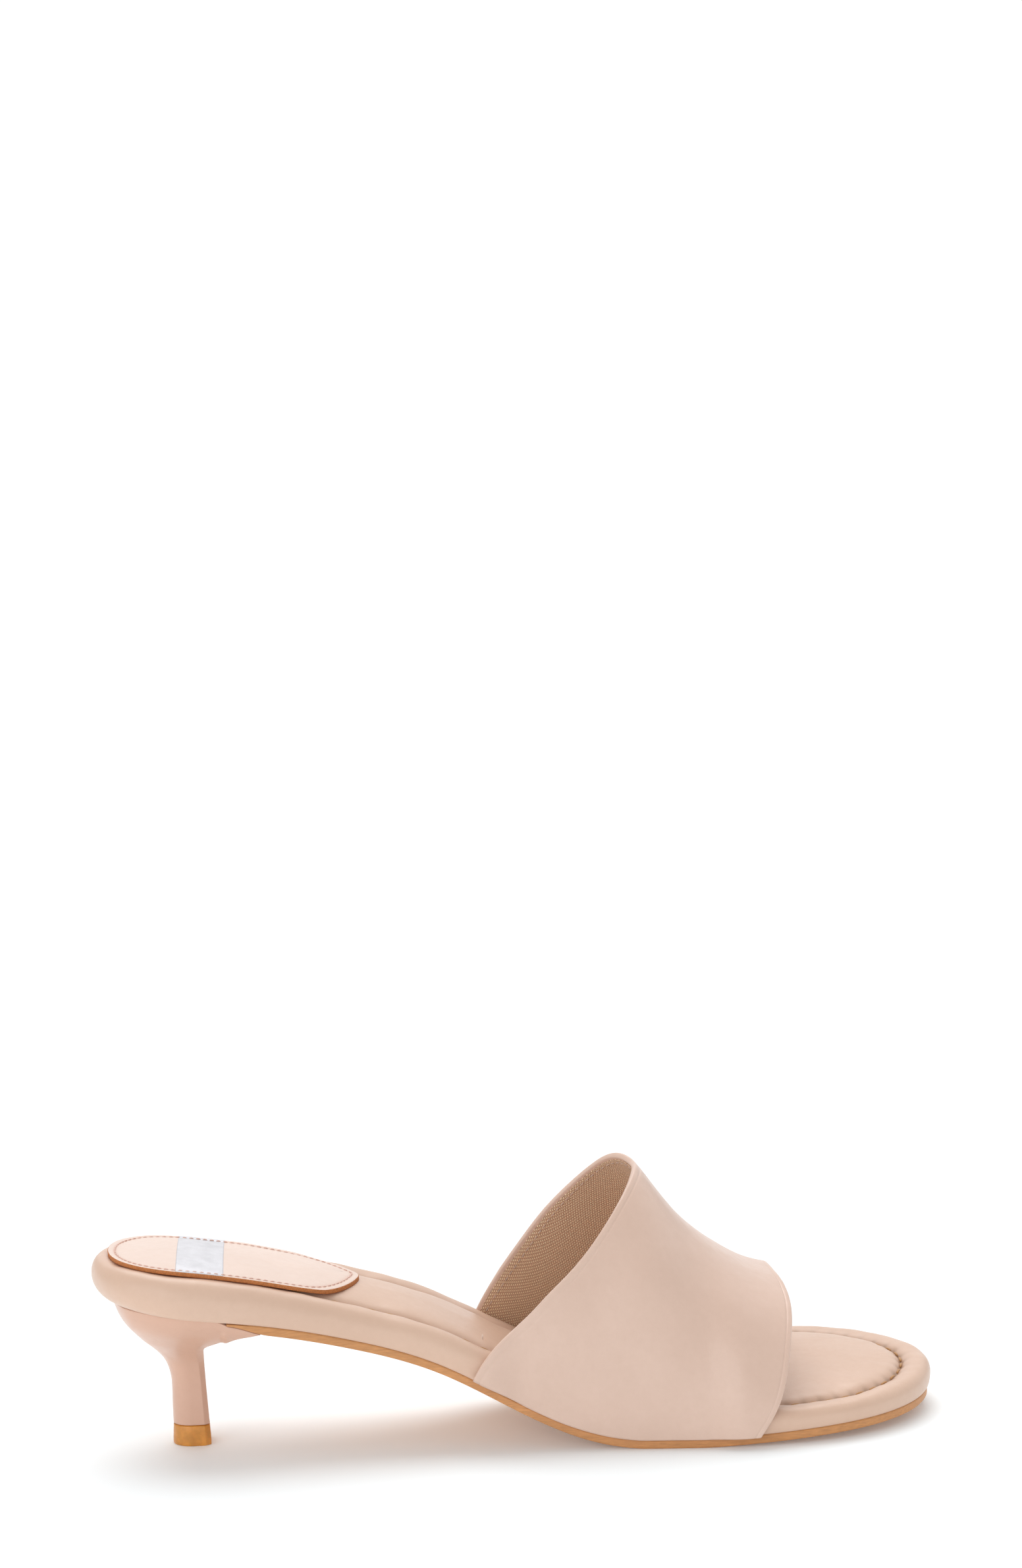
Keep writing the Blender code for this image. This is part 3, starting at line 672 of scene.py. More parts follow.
class Finish:
    """A material under construction: adds nodes, and gives sockets values or links."""

    def __init__(self, name):
        self.material = bpy.data.materials.new(name)
        self.material.use_nodes = True
        self.tree = self.material.node_tree
        self.shader = self.tree.nodes["Principled BSDF"]

    def add(self, kind, inputs=None, **settings):
        """A node with its settings, and its inputs by name or number."""
        node = self.tree.nodes.new("ShaderNode" + kind)
        for label, value in settings.items():
            setattr(node, label, value)
        for socket, value in (inputs or {}).items():
            self.set(node, socket, value)
        return node

    def set(self, node, socket, value):
        """Links a socket to another one, or gives it a value."""
        if isinstance(value, bpy.types.NodeSocket):
            self.tree.links.new(value, node.inputs[socket])
        else:
            node.inputs[socket].default_value = value

    def place(self):
        """Where a point lies on the object, in metres."""
        return self.add("TexCoord").outputs["Object"]

    def cloth_place(self):
        """Where a point lies on the flat cloth, in metres."""
        return self.add("UVMap", uv_map="cloth").outputs["UV"]

    def point_value(self, label):
        """A number that the mesh carries at its points."""
        return self.add("Attribute", attribute_name=label).outputs["Fac"]

    def noise(self, place, size, detail=2.0, rough=0.5):
        """Cloudy value from 0 to 1, with features of about that size in metres."""
        inputs = {"Vector": place, "Scale": 1.0 / size, "Detail": detail, "Roughness": rough}
        return self.add("TexNoise", inputs).outputs["Fac"]

    def cells(self, place, size):
        """Distance to the nearest of scattered points about that size apart."""
        inputs = {"Vector": place, "Scale": 1.0 / size, "Randomness": 1.0}
        return self.add("TexVoronoi", inputs, feature="F1").outputs["Distance"]

    def remap(self, value, low, high, to_low, to_high):
        """A value moved from one range to another, and held at its ends."""
        inputs = {0: value, 1: low, 2: high, 3: to_low, 4: to_high}
        return self.add("MapRange", inputs).outputs[0]

    def math(self, operation, first, second=0.0):
        """One sum of two values."""
        return self.add("Math", {0: first, 1: second}, operation=operation).outputs[0]

    def mix(self, factor, first, second, blend="MIX"):
        """Two colours mixed by a factor."""
        node = self.add("Mix", data_type="RGBA", blend_type=blend)
        for socket, value in ((0, factor), (6, first), (7, second)):
            self.set(node, socket, value)
        return node.outputs[2]

    def cloudy(self, value, dark, light):
        """Two colours mixed by a noise, which mostly lies between 0.3 and 0.7."""
        return self.mix(self.remap(value, 0.3, 0.7, 0.0, 1.0), dark, light)

    def bump(self, height, distance, strength=1.0, under=None):
        """Small relief of the surface: the height's range stands for that distance in metres."""
        inputs = {"Strength": strength, "Distance": distance, "Height": height}
        if under is not None:
            inputs["Normal"] = under
        return self.add("Bump", inputs).outputs["Normal"]

    def finish(self, **sockets):
        """Gives the shader its sockets, named with _ for a blank, and returns the material."""
        for label, value in sockets.items():
            self.set(self.shader, label.replace("_", " "), value)
        return self.material


def shade(colour, factor, warm=0.0):
    """A colour made lighter or darker, and a little warmer."""
    red, green, blue = (value * factor for value in colour[:3])
    return (min(red * (1.0 + warm), 1.0), min(green, 1.0), min(blue * (1.0 - warm), 1.0), 1.0)


def leather(name, colour, grain=0.0006, depth=0.00003, gloss=0.46, wrinkle=0.00008, coat=0.12,
            shading=None):
    """Smooth finished leather: cloudy colour, darker pores, fine grain over soft wrinkles. Where shading
    is given, it names a number of the mesh, the colour where that is 1, and how far it goes there."""
    skin = Finish(name)
    place = skin.place()
    cloud = skin.noise(place, 0.020, 3.0, 0.55)
    mottle = skin.noise(place, 0.0022, 4.0, 0.6)
    pores = skin.cells(place, grain)
    tone = skin.cloudy(cloud, shade(colour, 0.97, 0.01), shade(colour, 1.03))
    tone = skin.mix(skin.remap(mottle, 0.35, 0.75, 0.0, 0.30), tone, shade(colour, 0.90, 0.03))
    tone = skin.mix(skin.remap(pores, 0.0, 0.25, 0.12, 0.0), tone, shade(colour, 0.70, 0.05))
    # Where shading is given, a darker colour is mixed in by a number of the mesh: painted shade in the
    # footbed's channel and along the heel pad's seam
    if shading:
        label, dark, share = shading
        tone = skin.mix(skin.remap(skin.point_value(label), 0.0, 1.0, 0.0, share), tone, dark)
    soft = skin.bump(skin.noise(place, 0.0035, 3.0, 0.55), wrinkle, 0.6)
    grained = skin.bump(skin.cells(place, grain), depth, 0.7, soft)
    fine = skin.bump(skin.noise(place, grain * 0.45, 2.0), depth * 0.5, 0.6, grained)
    rough = skin.remap(mottle, 0.3, 0.7, gloss - 0.04, gloss + 0.06)
    return skin.finish(Base_Color=tone, Roughness=rough, Normal=fine, Coat_Weight=coat,
                       Coat_Roughness=0.32, Specular_IOR_Level=0.45)


def lining_finish(name, colour):
    """Woven canvas: two sets of threads that pass over and under each other, in two browns."""
    cloth = Finish(name)
    split = cloth.add("SeparateXYZ", {0: cloth.cloth_place()})
    waves = [cloth.math("SINE", cloth.math("MULTIPLY", split.outputs[way], math.pi / WEAVE_PITCH))
             for way in (0, 1)]
    warp, weft = (cloth.math("ABSOLUTE", wave) for wave in waves)
    over = cloth.remap(cloth.math("MULTIPLY", *waves), 0.10, 0.50, 0.0, 1.0)
    height = cloth.mix(over, warp, weft)
    fuzz = cloth.noise(cloth.place(), 0.0004, 3.0, 0.6)
    dark = cloth.mix(fuzz, shade(colour, 0.62, 0.05), shade(colour, 0.92))
    light = cloth.mix(fuzz, shade(colour, 1.25), shade(colour, 1.70))
    tone = cloth.mix(over, dark, light)
    # Painted shade: the weave is darker where its threads lie low between the crossings
    groove = cloth.remap(height, 0.0, 0.6, 0.70, 1.0)
    tone = cloth.mix(1.0, tone, groove, "MULTIPLY")
    relief = cloth.bump(height, 0.00018, 1.0)
    relief = cloth.bump(fuzz, 0.00006, 0.5, relief)
    return cloth.finish(Base_Color=tone, Roughness=0.85, Normal=relief, Sheen_Weight=0.15,
                        Specular_IOR_Level=0.25)


def raw_leather(name, colour):
    """Cut leather edge: matt brown fibres in layers."""
    skin = Finish(name)
    place = skin.place()
    fibre = skin.noise(place, 0.0004, 4.0, 0.7)
    tone = skin.cloudy(fibre, shade(colour, 0.65), shade(colour, 1.35))
    return skin.finish(Base_Color=tone, Roughness=0.8, Normal=skin.bump(fibre, 0.00012, 0.8))


def thread_finish(name, colour):
    """Twisted sewing thread: a soft sheen, and fine fibres across it."""
    yarn = Finish(name)
    place = yarn.place()
    fibre = yarn.noise(place, 0.00018, 3.0, 0.6)
    tone = yarn.mix(fibre, shade(colour, 0.75), shade(colour, 1.25))
    return yarn.finish(Base_Color=tone, Roughness=0.55, Normal=yarn.bump(fibre, 0.00006, 0.7),
                       Sheen_Weight=0.2)


def rubber_finish(name, colour):
    """Amber top lift: lets a little light in, with fine scuffs."""
    rubber = Finish(name)
    place = rubber.place()
    cloud = rubber.noise(place, 0.003, 3.0, 0.55)
    tone = rubber.cloudy(cloud, shade(colour, 0.78), shade(colour, 1.12))
    scuff = rubber.noise(place, 0.0006, 4.0, 0.65)
    rough = rubber.remap(scuff, 0.3, 0.7, 0.28, 0.48)
    return rubber.finish(Base_Color=tone, Roughness=rough, Normal=rubber.bump(scuff, 0.00004, 0.5),
                         Subsurface_Weight=0.35, Subsurface_Scale=0.003, Coat_Weight=0.15)


def outsole_finish(name, colour):
    """Tan sole leather: long faint fibres under darker clouds."""
    skin = Finish(name)
    place = skin.place()
    stretch = skin.add("Mapping", {"Vector": place, "Scale": (0.25, 1.0, 2.5)}).outputs[0]
    fibre = skin.noise(stretch, 0.0009, 4.0, 0.6)
    cloud = skin.noise(place, 0.012, 3.0, 0.55)
    tone = skin.cloudy(fibre, shade(colour, 0.80, 0.03), shade(colour, 1.15))
    tone = skin.mix(skin.remap(cloud, 0.35, 0.75, 0.0, 0.35), tone, shade(colour, 0.62, 0.04))
    rough = skin.remap(fibre, 0.3, 0.7, 0.42, 0.58)
    return skin.finish(Base_Color=tone, Roughness=rough, Normal=skin.bump(fibre, 0.00006, 0.6))


def foil_finish(name, colour):
    """Pressed foil: bright, softly brushed by the leather's grain under it."""
    foil = Finish(name)
    place = foil.place()
    grain = foil.cells(place, 0.0007)
    cloud = foil.noise(place, 0.004, 3.0, 0.6)
    tone = foil.cloudy(cloud, shade(colour, 0.86), shade(colour, 1.0))
    rough = foil.remap(cloud, 0.3, 0.7, 0.44, 0.54)
    return foil.finish(Base_Color=tone, Metallic=0.55, Roughness=rough,
                       Normal=foil.bump(grain, 0.00003, 0.8))


# Pieces


def channel_path(form, side, places):
    """Turn of the outline at shares of the channel's way on one side, from the heel (0) to the tip (1),
    and the channel's whole length on that side."""
    dense = np.linspace(0.0, math.pi, 4000)
    turns = dense if side > 0 else TURN - dense
    gone = path_length(np.stack(inset_curve(form.outline, turns, form.sizes.channel_inset), axis=-1))
    turn = np.interp(places * gone[-1], gone, dense)
    return (turn if side > 0 else TURN - turn), gone[-1]


def build_footbed(context):
    """Padded footbed. One way of the grid goes round the outline and the other from the underside's
    middle line out, up the roll, through the channel and in to the top's middle line.

    The roll is two quarter ellipses, the channel sinks by depth exp(-|distance| / reach), and at each
    stitch the leather is drawn in by a cosine of the place between stitches to a power of 1.5. Loose
    waves of the leather are added over the whole top. Painted shade darkens the channel, most at the
    stitch holes, and is faint behind the band.
    """
    sizes, colours, form = sandal(context)
    stitches = stitches_a_side(form)
    columns_a_stitch = 14
    places = np.linspace(0.0, 1.0, stitches * columns_a_stitch + 1)
    medial, _ = channel_path(form, 1, places)
    lateral, _ = channel_path(form, -1, places)
    turn = np.concatenate((medial, lateral[-2:0:-1]))
    middle = (medial + TURN - lateral) / 2.0
    middle = np.concatenate((middle, middle[-2:0:-1]))
    number = np.concatenate((places, places[-2:0:-1])) * stitches

    under_share = np.concatenate((np.linspace(1.0, 0.1, 5), np.zeros(20)))
    roll_angle = np.concatenate((np.full(5, -90.0), np.linspace(-90.0, 90.0, 20)))
    steps_in = np.array((-2.4, -1.8, -1.3, -0.9, -0.6, -0.3, -0.1, 0.1, 0.3, 0.6, 1.0, 1.4, 1.9, 2.5, 3.2))
    top_inset = sizes.channel_inset + steps_in * sizes.channel_reach
    in_share = np.linspace(0.0, 1.0, 18)[1:] ** 1.1
    angle = np.concatenate((roll_angle, np.full(len(top_inset) + len(in_share), 90.0)))
    angle = np.radians(angle)[:, None]
    share = np.concatenate((under_share, np.zeros(len(top_inset)), in_share))[:, None]
    under = form.under_inset(form.outline(turn)[0])[None, :]
    inset = np.where(angle < 0.0, under, sizes.roll_top) * (1.0 - np.cos(angle))
    inset[len(roll_angle):] = np.concatenate((top_inset, np.full(len(in_share), top_inset[-1])))[:, None]
    edge = inset_curve(form.outline, turn[None, :], inset)
    spine = form.spine(middle)
    x, y = drawn_in(edge, spine, share)
    top = ease(angle, 0.0, math.pi / 2.0)
    away = np.where(angle > 0.0, inset, 0.0)
    away = away + share * np.hypot(spine[0] - edge[0], spine[1] - edge[1]) * top
    z = form.seat(x) + form.footbed_depth(x, y) * (1.0 + np.sin(angle)) / 2.0 + top * form.crown(away)

    drawn = (0.5 + 0.5 * np.cos(TURN * number)[None, :]) ** PUCKER_POWER
    seen = PUCKER_LEAST + (1.0 - PUCKER_LEAST) * ease(x, *PUCKER_FADE)
    z = z - top * form.channel(x, away) * (1.0 - (1.0 - CHANNEL_OPEN) * (1.0 - drawn) * seen)
    sewn = ease(x, CHANNEL_STARTS, CHANNEL_FULL) * top
    off = (away - sizes.channel_inset) / PUCKER_REACH
    z = z - sewn * seen * PUCKER_DEPTH * (drawn - 0.4) * np.exp(-off * off)
    points = np.stack((x, y, z), axis=-1)
    loose = waver(points, 0.017, 5) * 0.00022 + waver(points, 0.006, 6) * 0.00006
    calm = ease(away, sizes.channel_inset, sizes.channel_inset + 0.01)
    points[..., 2] = z + top * loose * (1.0 - 0.5 * calm)
    # Painted shade in the channel: darker along its bottom and most at the stitch holes, faint behind the
    # band
    groove = np.exp(-np.abs(away - sizes.channel_inset) / GROOVE_REACH)
    groove = groove * sewn * (0.2 + 0.8 * drawn ** PUCKER_POWER) * seen
    # The channel's painted shade is the thread's colour, darkened
    skin = leather("footbed_leather", colours.footbed, gloss=0.44, coat=0.32,
                   shading=("groove", shade(colours.thread, 0.35), 0.85))
    piece = make_rings("footbed_leather", points, skin, {"groove": groove})
    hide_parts("footbed")


def stitches_a_side(form):
    """Number of stitch places on each side of the footbed, from the channel's length and the pitch."""
    _, gone = channel_path(form, 1, np.array([0.0]))
    return int(round(gone / form.sizes.stitch_pitch))


def channel_bottom(form, side, places):
    """Middle line of the thread on the channel's bottom, at shares of the channel's way on one side."""
    inset = form.sizes.channel_inset
    turn, _ = channel_path(form, side, places)
    x, y = inset_curve(form.outline, turn, inset)
    z = form.plain_top(x, y, np.full_like(x, inset)) - form.channel(x, inset) * CHANNEL_OPEN
    return np.stack((x, y, z + form.sizes.thread * 1.1), axis=-1)


def build_channel_thread(context):
    """Stitches in the footbed's channel: one between each two holes, from where the channel starts."""
    sizes, colours, form = sandal(context)
    stitches = stitches_a_side(form)
    places = (np.arange(stitches) + 0.5) / stitches
    centres, tangents = [], []
    for side in (1, -1):
        points, ahead = along_path(channel_bottom, (form, side), places, 0.2 / stitches)
        kept = points[:, 0] > CHANNEL_STARTS + 0.004
        centres.append(points[kept])
        tangents.append(ahead[kept])
    tangents = np.concatenate(tangents)
    points, faces = stitch_row(np.concatenate(centres), tangents, upright(tangents),
                               sizes.stitch_pitch * 0.68, sizes.thread)
    yarn = thread_finish("channel_thread", colours.thread)
    make_piece("channel_thread", points, faces, [yarn])


def band_edge_margin(form, over):
    """How much of the way along the band one metre is, at each place over it."""
    ends = [form.band_inside(np.full_like(over, share), over) for share in (0.0, 0.25, 0.5, 0.75, 1.0)]
    return 1.0 / sum(np.linalg.norm(after - before, axis=-1) for before, after in zip(ends, ends[1:]))


def band_relief(along, over, points):
    """Height of the band's soft troughs and ridges: bells at the table's places, and faint waves."""
    height = np.zeros(np.broadcast(along, over).shape)
    for place, across, reach, wide, rise in BAND_RELIEF:
        height = height + rise * np.exp(-((along - place) / reach) ** 2 - ((over - across) / wide) ** 2)
    return height + waver(points, 0.022, 11) * 0.00018 + waver(points, 0.008, 12) * 0.00004


def build_upper(context):
    """Band of leather with a turned edge. A loop goes round its wall, over the outside from the back to
    the front edge, round it, and back over the inside, and is carried from the lateral sole by the crest
    to the medial sole. The edges are rounded by a superellipse as thick as the wall, whose cosine and
    sine have the power WALL_POWER, and a fine groove runs along them.
    """
    sizes, colours, form = sandal(context)
    over = np.linspace(-1.0, 1.0, 361)[None, :]
    half = sizes.band_wall / 2.0
    margin = band_edge_margin(form, over[0])[None, :] * half
    outside = np.linspace(0.0, 1.0, 96)
    outside = (outside + 0.14 * np.sin(-TURN * outside) / TURN * 6.0)[:, None]
    rounding = np.radians(np.linspace(90.0, -90.0, 11)[1:-1])[:, None]
    inside = np.linspace(1.0, 0.0, 40)[:, None]
    zeros, ones = np.zeros_like, np.ones_like
    along = np.concatenate((outside, ones(rounding), inside, zeros(rounding)))
    lift = np.concatenate((ones(outside), np.sin(rounding), -ones(inside), -np.sin(rounding)))
    forward = np.concatenate((zeros(outside), np.cos(rounding), zeros(inside), -np.cos(rounding)))
    along = margin + along * (1.0 - 2.0 * margin)
    over_all = np.broadcast_to(over, along.shape)
    points, normal, tangent = form.band_surface(along, over_all)
    rise, ahead = (np.sign(part) * np.abs(part) ** WALL_POWER * half for part in (lift, forward))
    points = points + normal * (half + rise)[..., None] + tangent * ahead[..., None]
    outer = ease(lift, -0.5, 1.0)
    relief = band_relief(along, over_all, points) * outer
    from_edge = np.minimum(along, 1.0 - along) / margin * half
    groove = np.exp(-((from_edge - EDGE_GROOVE_INSET) / EDGE_GROOVE_REACH) ** 2)
    points = points + normal * (relief - EDGE_GROOVE_DEPTH * groove * outer)[..., None]
    rows, columns = along.shape
    faces = np.concatenate((grid_faces(rows, columns, wrap_rows=True),
                            cap_faces(rows, columns, len(outside))))
    skin = leather("band_leather", colours.upper, gloss=0.38, coat=0.32, wrinkle=0.00006)
    piece = make_piece("band_leather", points, faces, [skin])
    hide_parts("upper")


def lining_seam(form, at_back, over):
    """Share of the way along the band at which the lining's seam runs, by its back or its front edge."""
    inset = band_edge_margin(form, over) * LINING_SEAM_INSET
    return inset if at_back else 1.0 - inset


def build_lining(context):
    """Woven lining inside the band: a thin sheet that ends a little inside the band's edges, held against
    its inner face, and the row of stitches along each edge that holds it."""
    _, colours, form = sandal(context)
    over = np.linspace(-0.995, 0.995, 300)[None, :]
    metre = band_edge_margin(form, over[0])[None, :]
    margin = metre * LINING_INSET
    across = np.linspace(0.0, 1.0, 70)[:, None]
    along = margin + across * (1.0 - 2.0 * margin)
    points, normal, _ = form.band_surface(along, np.broadcast_to(over, along.shape))
    near, far = points - normal * 0.00002, points - normal * LINING_THICKNESS
    width = 1.0 / metre
    gone = path_length(form.band_inside(np.full_like(over[0], 0.5), over[0]))
    flat_x = (across - 0.5) * width
    flat_y = np.broadcast_to(gone[None, :], flat_x.shape)
    flat = np.stack((flat_x, flat_y), axis=-1)
    rows, columns = along.shape
    faces = np.concatenate((grid_faces(2 * rows, columns, wrap_rows=True),
                            cap_faces(2 * rows, columns, rows)))
    cloth = lining_finish("woven_lining", colours.weave)
    piece = make_piece("band_lining", np.concatenate((near, far[::-1])), faces, [cloth],
                       uv=np.concatenate((flat, flat[::-1])))

    thread_points, thread_faces, size = [], [], 0
    pitch = LINING_STITCH_PITCH
    for at_back in (True, False):
        dense = np.linspace(-0.97, 0.97, 3000)
        gone = path_length(form.band_inside(lining_seam(form, at_back, dense), dense))
        places = np.interp((np.arange(int(gone[-1] / pitch)) + 0.5) * pitch, gone, dense)
        line = lining_seam(form, at_back, places)
        centres, normal, _ = form.band_surface(line, places)
        _, ahead = along_path(form.band_inside, (line,), places, 0.002)
        points, faces = stitch_row(centres - normal * (LINING_THICKNESS + 0.00008), ahead, -normal,
                                   pitch * 0.80, 0.00036)
        thread_points.append(points.reshape(-1, 3))
        thread_faces.append(faces + size)
        size += len(thread_points[-1])
    thread = make_piece("lining_thread", np.concatenate(thread_points), np.concatenate(thread_faces),
                        [thread_finish("lining_thread", shade(colours.upper, 0.8))])


def pad_relief(form, points):
    """Height of the pad's faint waves and of the groove that its stitches draw in, at each point."""
    away = nearest(points[..., 0], points[..., 1], *form.pad_curve(np.linspace(0.0, TURN, 900)))
    seam = np.exp(-((away - PAD_SEAM_INSET) / PAD_SEAM_REACH) ** 2)
    return waver(points, 0.016, 21) * 0.00010 - PAD_SEAM_DEPTH * seam


def pad_seam(form, turn):
    """Points of the pad's seam, on its top, at angles of its outline."""
    x, y = inset_curve(form.pad_curve, turn, PAD_SEAM_INSET)
    return np.stack((x, y, form.pad_top(x, y)), axis=-1)


def build_heel_pad(context):
    """Leather sock on the heel seat. Rings go from the underside's middle line out to the cut edge, up it
    and over a small rounding, and back in to the middle line of the top, which follows the footbed."""
    sizes, colours, form = sandal(context)
    turn = np.linspace(0.0, TURN, 480, endpoint=False)[None, :]
    thick = sizes.pad_thickness
    inset = np.array([0.0] * 7 + [0.00008, 0.00018, PAD_ROUNDING, 0.0008, 0.0014, 0.0018, 0.0022, 0.0026,
                                  0.0032] + [0.0045] * 15)[:, None]
    share = np.concatenate(([1.0, 0.5, 0.1], np.zeros(14), np.linspace(0.0, 1.0, 15)[1:]))[:, None]
    raised = np.array([0.0] * 4 + [0.3, 0.6, 0.82, 0.92, 0.97] + [1.0] * 22)[:, None]
    on_top = raised > 0.99
    back_x = HEEL_PAD_BACK + SPINE_BACK * 0.7
    front_x = HEEL_PAD_BACK + HEEL_PAD_LENGTH * 0.86
    middle_x = back_x + (front_x - back_x) * (1.0 - np.cos(turn)) / 2.0
    middle_y = HEEL_PAD_TIP_OFFSET * 0.8 * ((middle_x - back_x) / (front_x - back_x)) ** 2
    x, y = drawn_in(inset_curve(form.pad_curve, turn, inset), (middle_x, middle_y), share)
    z = form.plain_top(x, y, form.inset_at(x, y)) + GAP + raised * thick
    points = np.stack((x, y, z), axis=-1)
    points[..., 2] = z + on_top * pad_relief(form, points)
    # Painted shade along the seam's pressed groove, in the raw edge's brown
    seam = np.exp(-((inset - PAD_SEAM_INSET) / 0.0004) ** 2) * (share == 0.0) * on_top
    rows, columns = x.shape
    raw = np.broadcast_to((np.arange(rows - 1) < 8)[:, None], (rows - 1, columns))
    skin = leather("pad_leather", colours.pad, gloss=0.42, coat=0.14,
                   shading=("seam", shade(colours.raw_edge, 1.1), 0.45))
    piece = make_piece("heel_pad_leather", points, grid_faces(rows, columns, wrap_columns=True),
                       [skin, raw_leather("raw_edge", colours.raw_edge)],
                       {"seam": np.broadcast_to(seam, x.shape)}, face_materials=raw)
    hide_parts("heel_pad")

    dense = np.linspace(0.0, TURN, 4000)
    gone = path_length(np.stack(inset_curve(form.pad_curve, dense, PAD_SEAM_INSET), axis=-1))
    count = int(gone[-1] / PAD_STITCH_PITCH)
    places = np.interp((np.arange(count) + 0.5) * gone[-1] / count, gone, dense)
    centres, tangents = along_path(pad_seam, (form,), places, 0.01)
    up = upright(tangents)
    points, faces = stitch_row(centres + up * 0.00002, tangents, up, PAD_STITCH_PITCH * 0.74, 0.00044)
    yarn = thread_finish("pad_thread", colours.pad_thread)
    make_piece("pad_thread", points, faces, [yarn])


def build_foil(context):
    """Bare foil strip printed across the heel pad, from edge to edge: a thin sheet on the pad's top.

    u goes along the shoe over the strip's width and v across it, from the pad's lateral edge to the
    medial one, which are read from the pad's outline at each x. The strip slants by a share of the ball
    width.
    """
    sizes, colours, form = sandal(context)
    u = np.linspace(0.0, 1.0, 45)[:, None]
    v = np.linspace(0.0, 1.0, 161)[None, :]
    dense = np.linspace(0.3, math.pi - 0.3, 2000)
    x = FOIL_START + u * FOIL_WIDTH + (v - 0.5) * FOIL_SLANT * sizes.ball_width
    low, high = (np.interp(x, *inset_curve(form.pad_curve, turn, FOIL_MARGIN))
                 for turn in (TURN - dense, dense))
    y = low + v * (high - low)
    plain = np.stack((x, y, form.pad_top(x, y)), axis=-1)
    top = plain + (0.0, 0.0, FOIL_RISE)
    top[..., 2] += pad_relief(form, plain)
    under = top - (0.0, 0.0, FOIL_THICKNESS)
    rows, columns = x.shape
    count = rows * columns
    faces = grid_faces(rows, columns)
    rim = np.concatenate((np.arange(columns), np.arange(1, rows) * columns + columns - 1,
                          count - 1 - np.arange(1, columns), columns * np.arange(rows - 2, 0, -1)))
    after = np.roll(rim, -1)
    sides = np.stack((rim, after, after + count, rim + count), axis=-1)
    make_piece("foil_panel", np.concatenate((top.reshape(-1, 3), under.reshape(-1, 3))),
               np.concatenate((faces, faces[:, ::-1] + count, sides)),
               [foil_finish("pressed_foil", colours.foil)])


def build_outsole(context):
    """Thin outsole. Rings go from the top's middle line out to the edge, down it, round the lower edge and
    in to the middle line of the underside. Behind its start the rings are cut off straight."""
    sizes, colours, form = sandal(context)
    turn = np.linspace(0.0, TURN, 480, endpoint=False)[None, :]
    bend = np.radians(np.linspace(0.0, 90.0, 6))
    inset = np.concatenate((np.zeros(10), OUTSOLE_EDGE * (1.0 - np.cos(bend)),
                            np.full(8, OUTSOLE_EDGE)))[:, None]
    share = np.concatenate((np.linspace(1.0, 0.05, 6), np.zeros(10),
                            np.linspace(0.0, 1.0, 9)[1:]))[:, None]
    drop = np.concatenate((np.zeros(6), np.linspace(0.0, 0.75, 4), 0.78 + 0.22 * np.sin(bend),
                           np.ones(8)))[:, None]
    edge_x, edge_y = inset_curve(form.free_outline, turn, sizes.outsole_inset + inset)
    cut = sizes.outsole_start + inset
    cut_turn = form.turn_at(cut)
    wide = np.where(np.sin(turn) >= 0.0, 1.0, -1.0)
    limit = form.free_outline(np.where(wide > 0.0, cut_turn, TURN - cut_turn))[1]
    past = (edge_x < cut) & (np.abs(edge_y) > np.abs(limit) - sizes.outsole_inset)
    edge_y = np.where(past, limit - wide * sizes.outsole_inset, edge_y)
    edge_x = np.maximum(edge_x, cut)
    x, y = drawn_in((edge_x, edge_y), form.spine(turn, sizes.outsole_start + 0.012), share)
    raised = GAP * ease(x, sizes.outsole_start + 0.010, sizes.outsole_start)
    top = form.seat(x) - OUTSOLE_CLEARANCE - raised
    z = top - drop * (form.outsole_depth(x) + top - form.seat(x) + GAP)
    piece = make_rings("outsole_leather", np.stack((x, y, z), axis=-1),
                       outsole_finish("outsole_leather", colours.outsole))
    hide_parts("outsole")


def stem_half(share):
    """Half-width of the stem's section: round at the back, cut corners at the front."""
    round_part = np.clip(share / STEM_ROUND, 0.0, 1.0)
    half = np.sqrt(1.0 - (1.0 - round_part) ** 2)
    return half * (1.0 - CORNER_DEPTH * np.clip((share - 1.0 + CORNER_CUT) / CORNER_CUT, 0.0, 1.0))


def heel_share():
    """Shares along the heel from its front (1) to its back (0), closer together at both ends, with a
    close step on each side of the cut corner so that it stays crisp."""
    even = (1.0 + np.cos(math.pi * np.linspace(0.0, 1.0, 40))) / 2.0
    corner = 1.0 - CORNER_CUT + np.array((0.012, 0.0, -0.012))
    return np.sort(np.concatenate((even, corner, (0.997,))))[::-1]


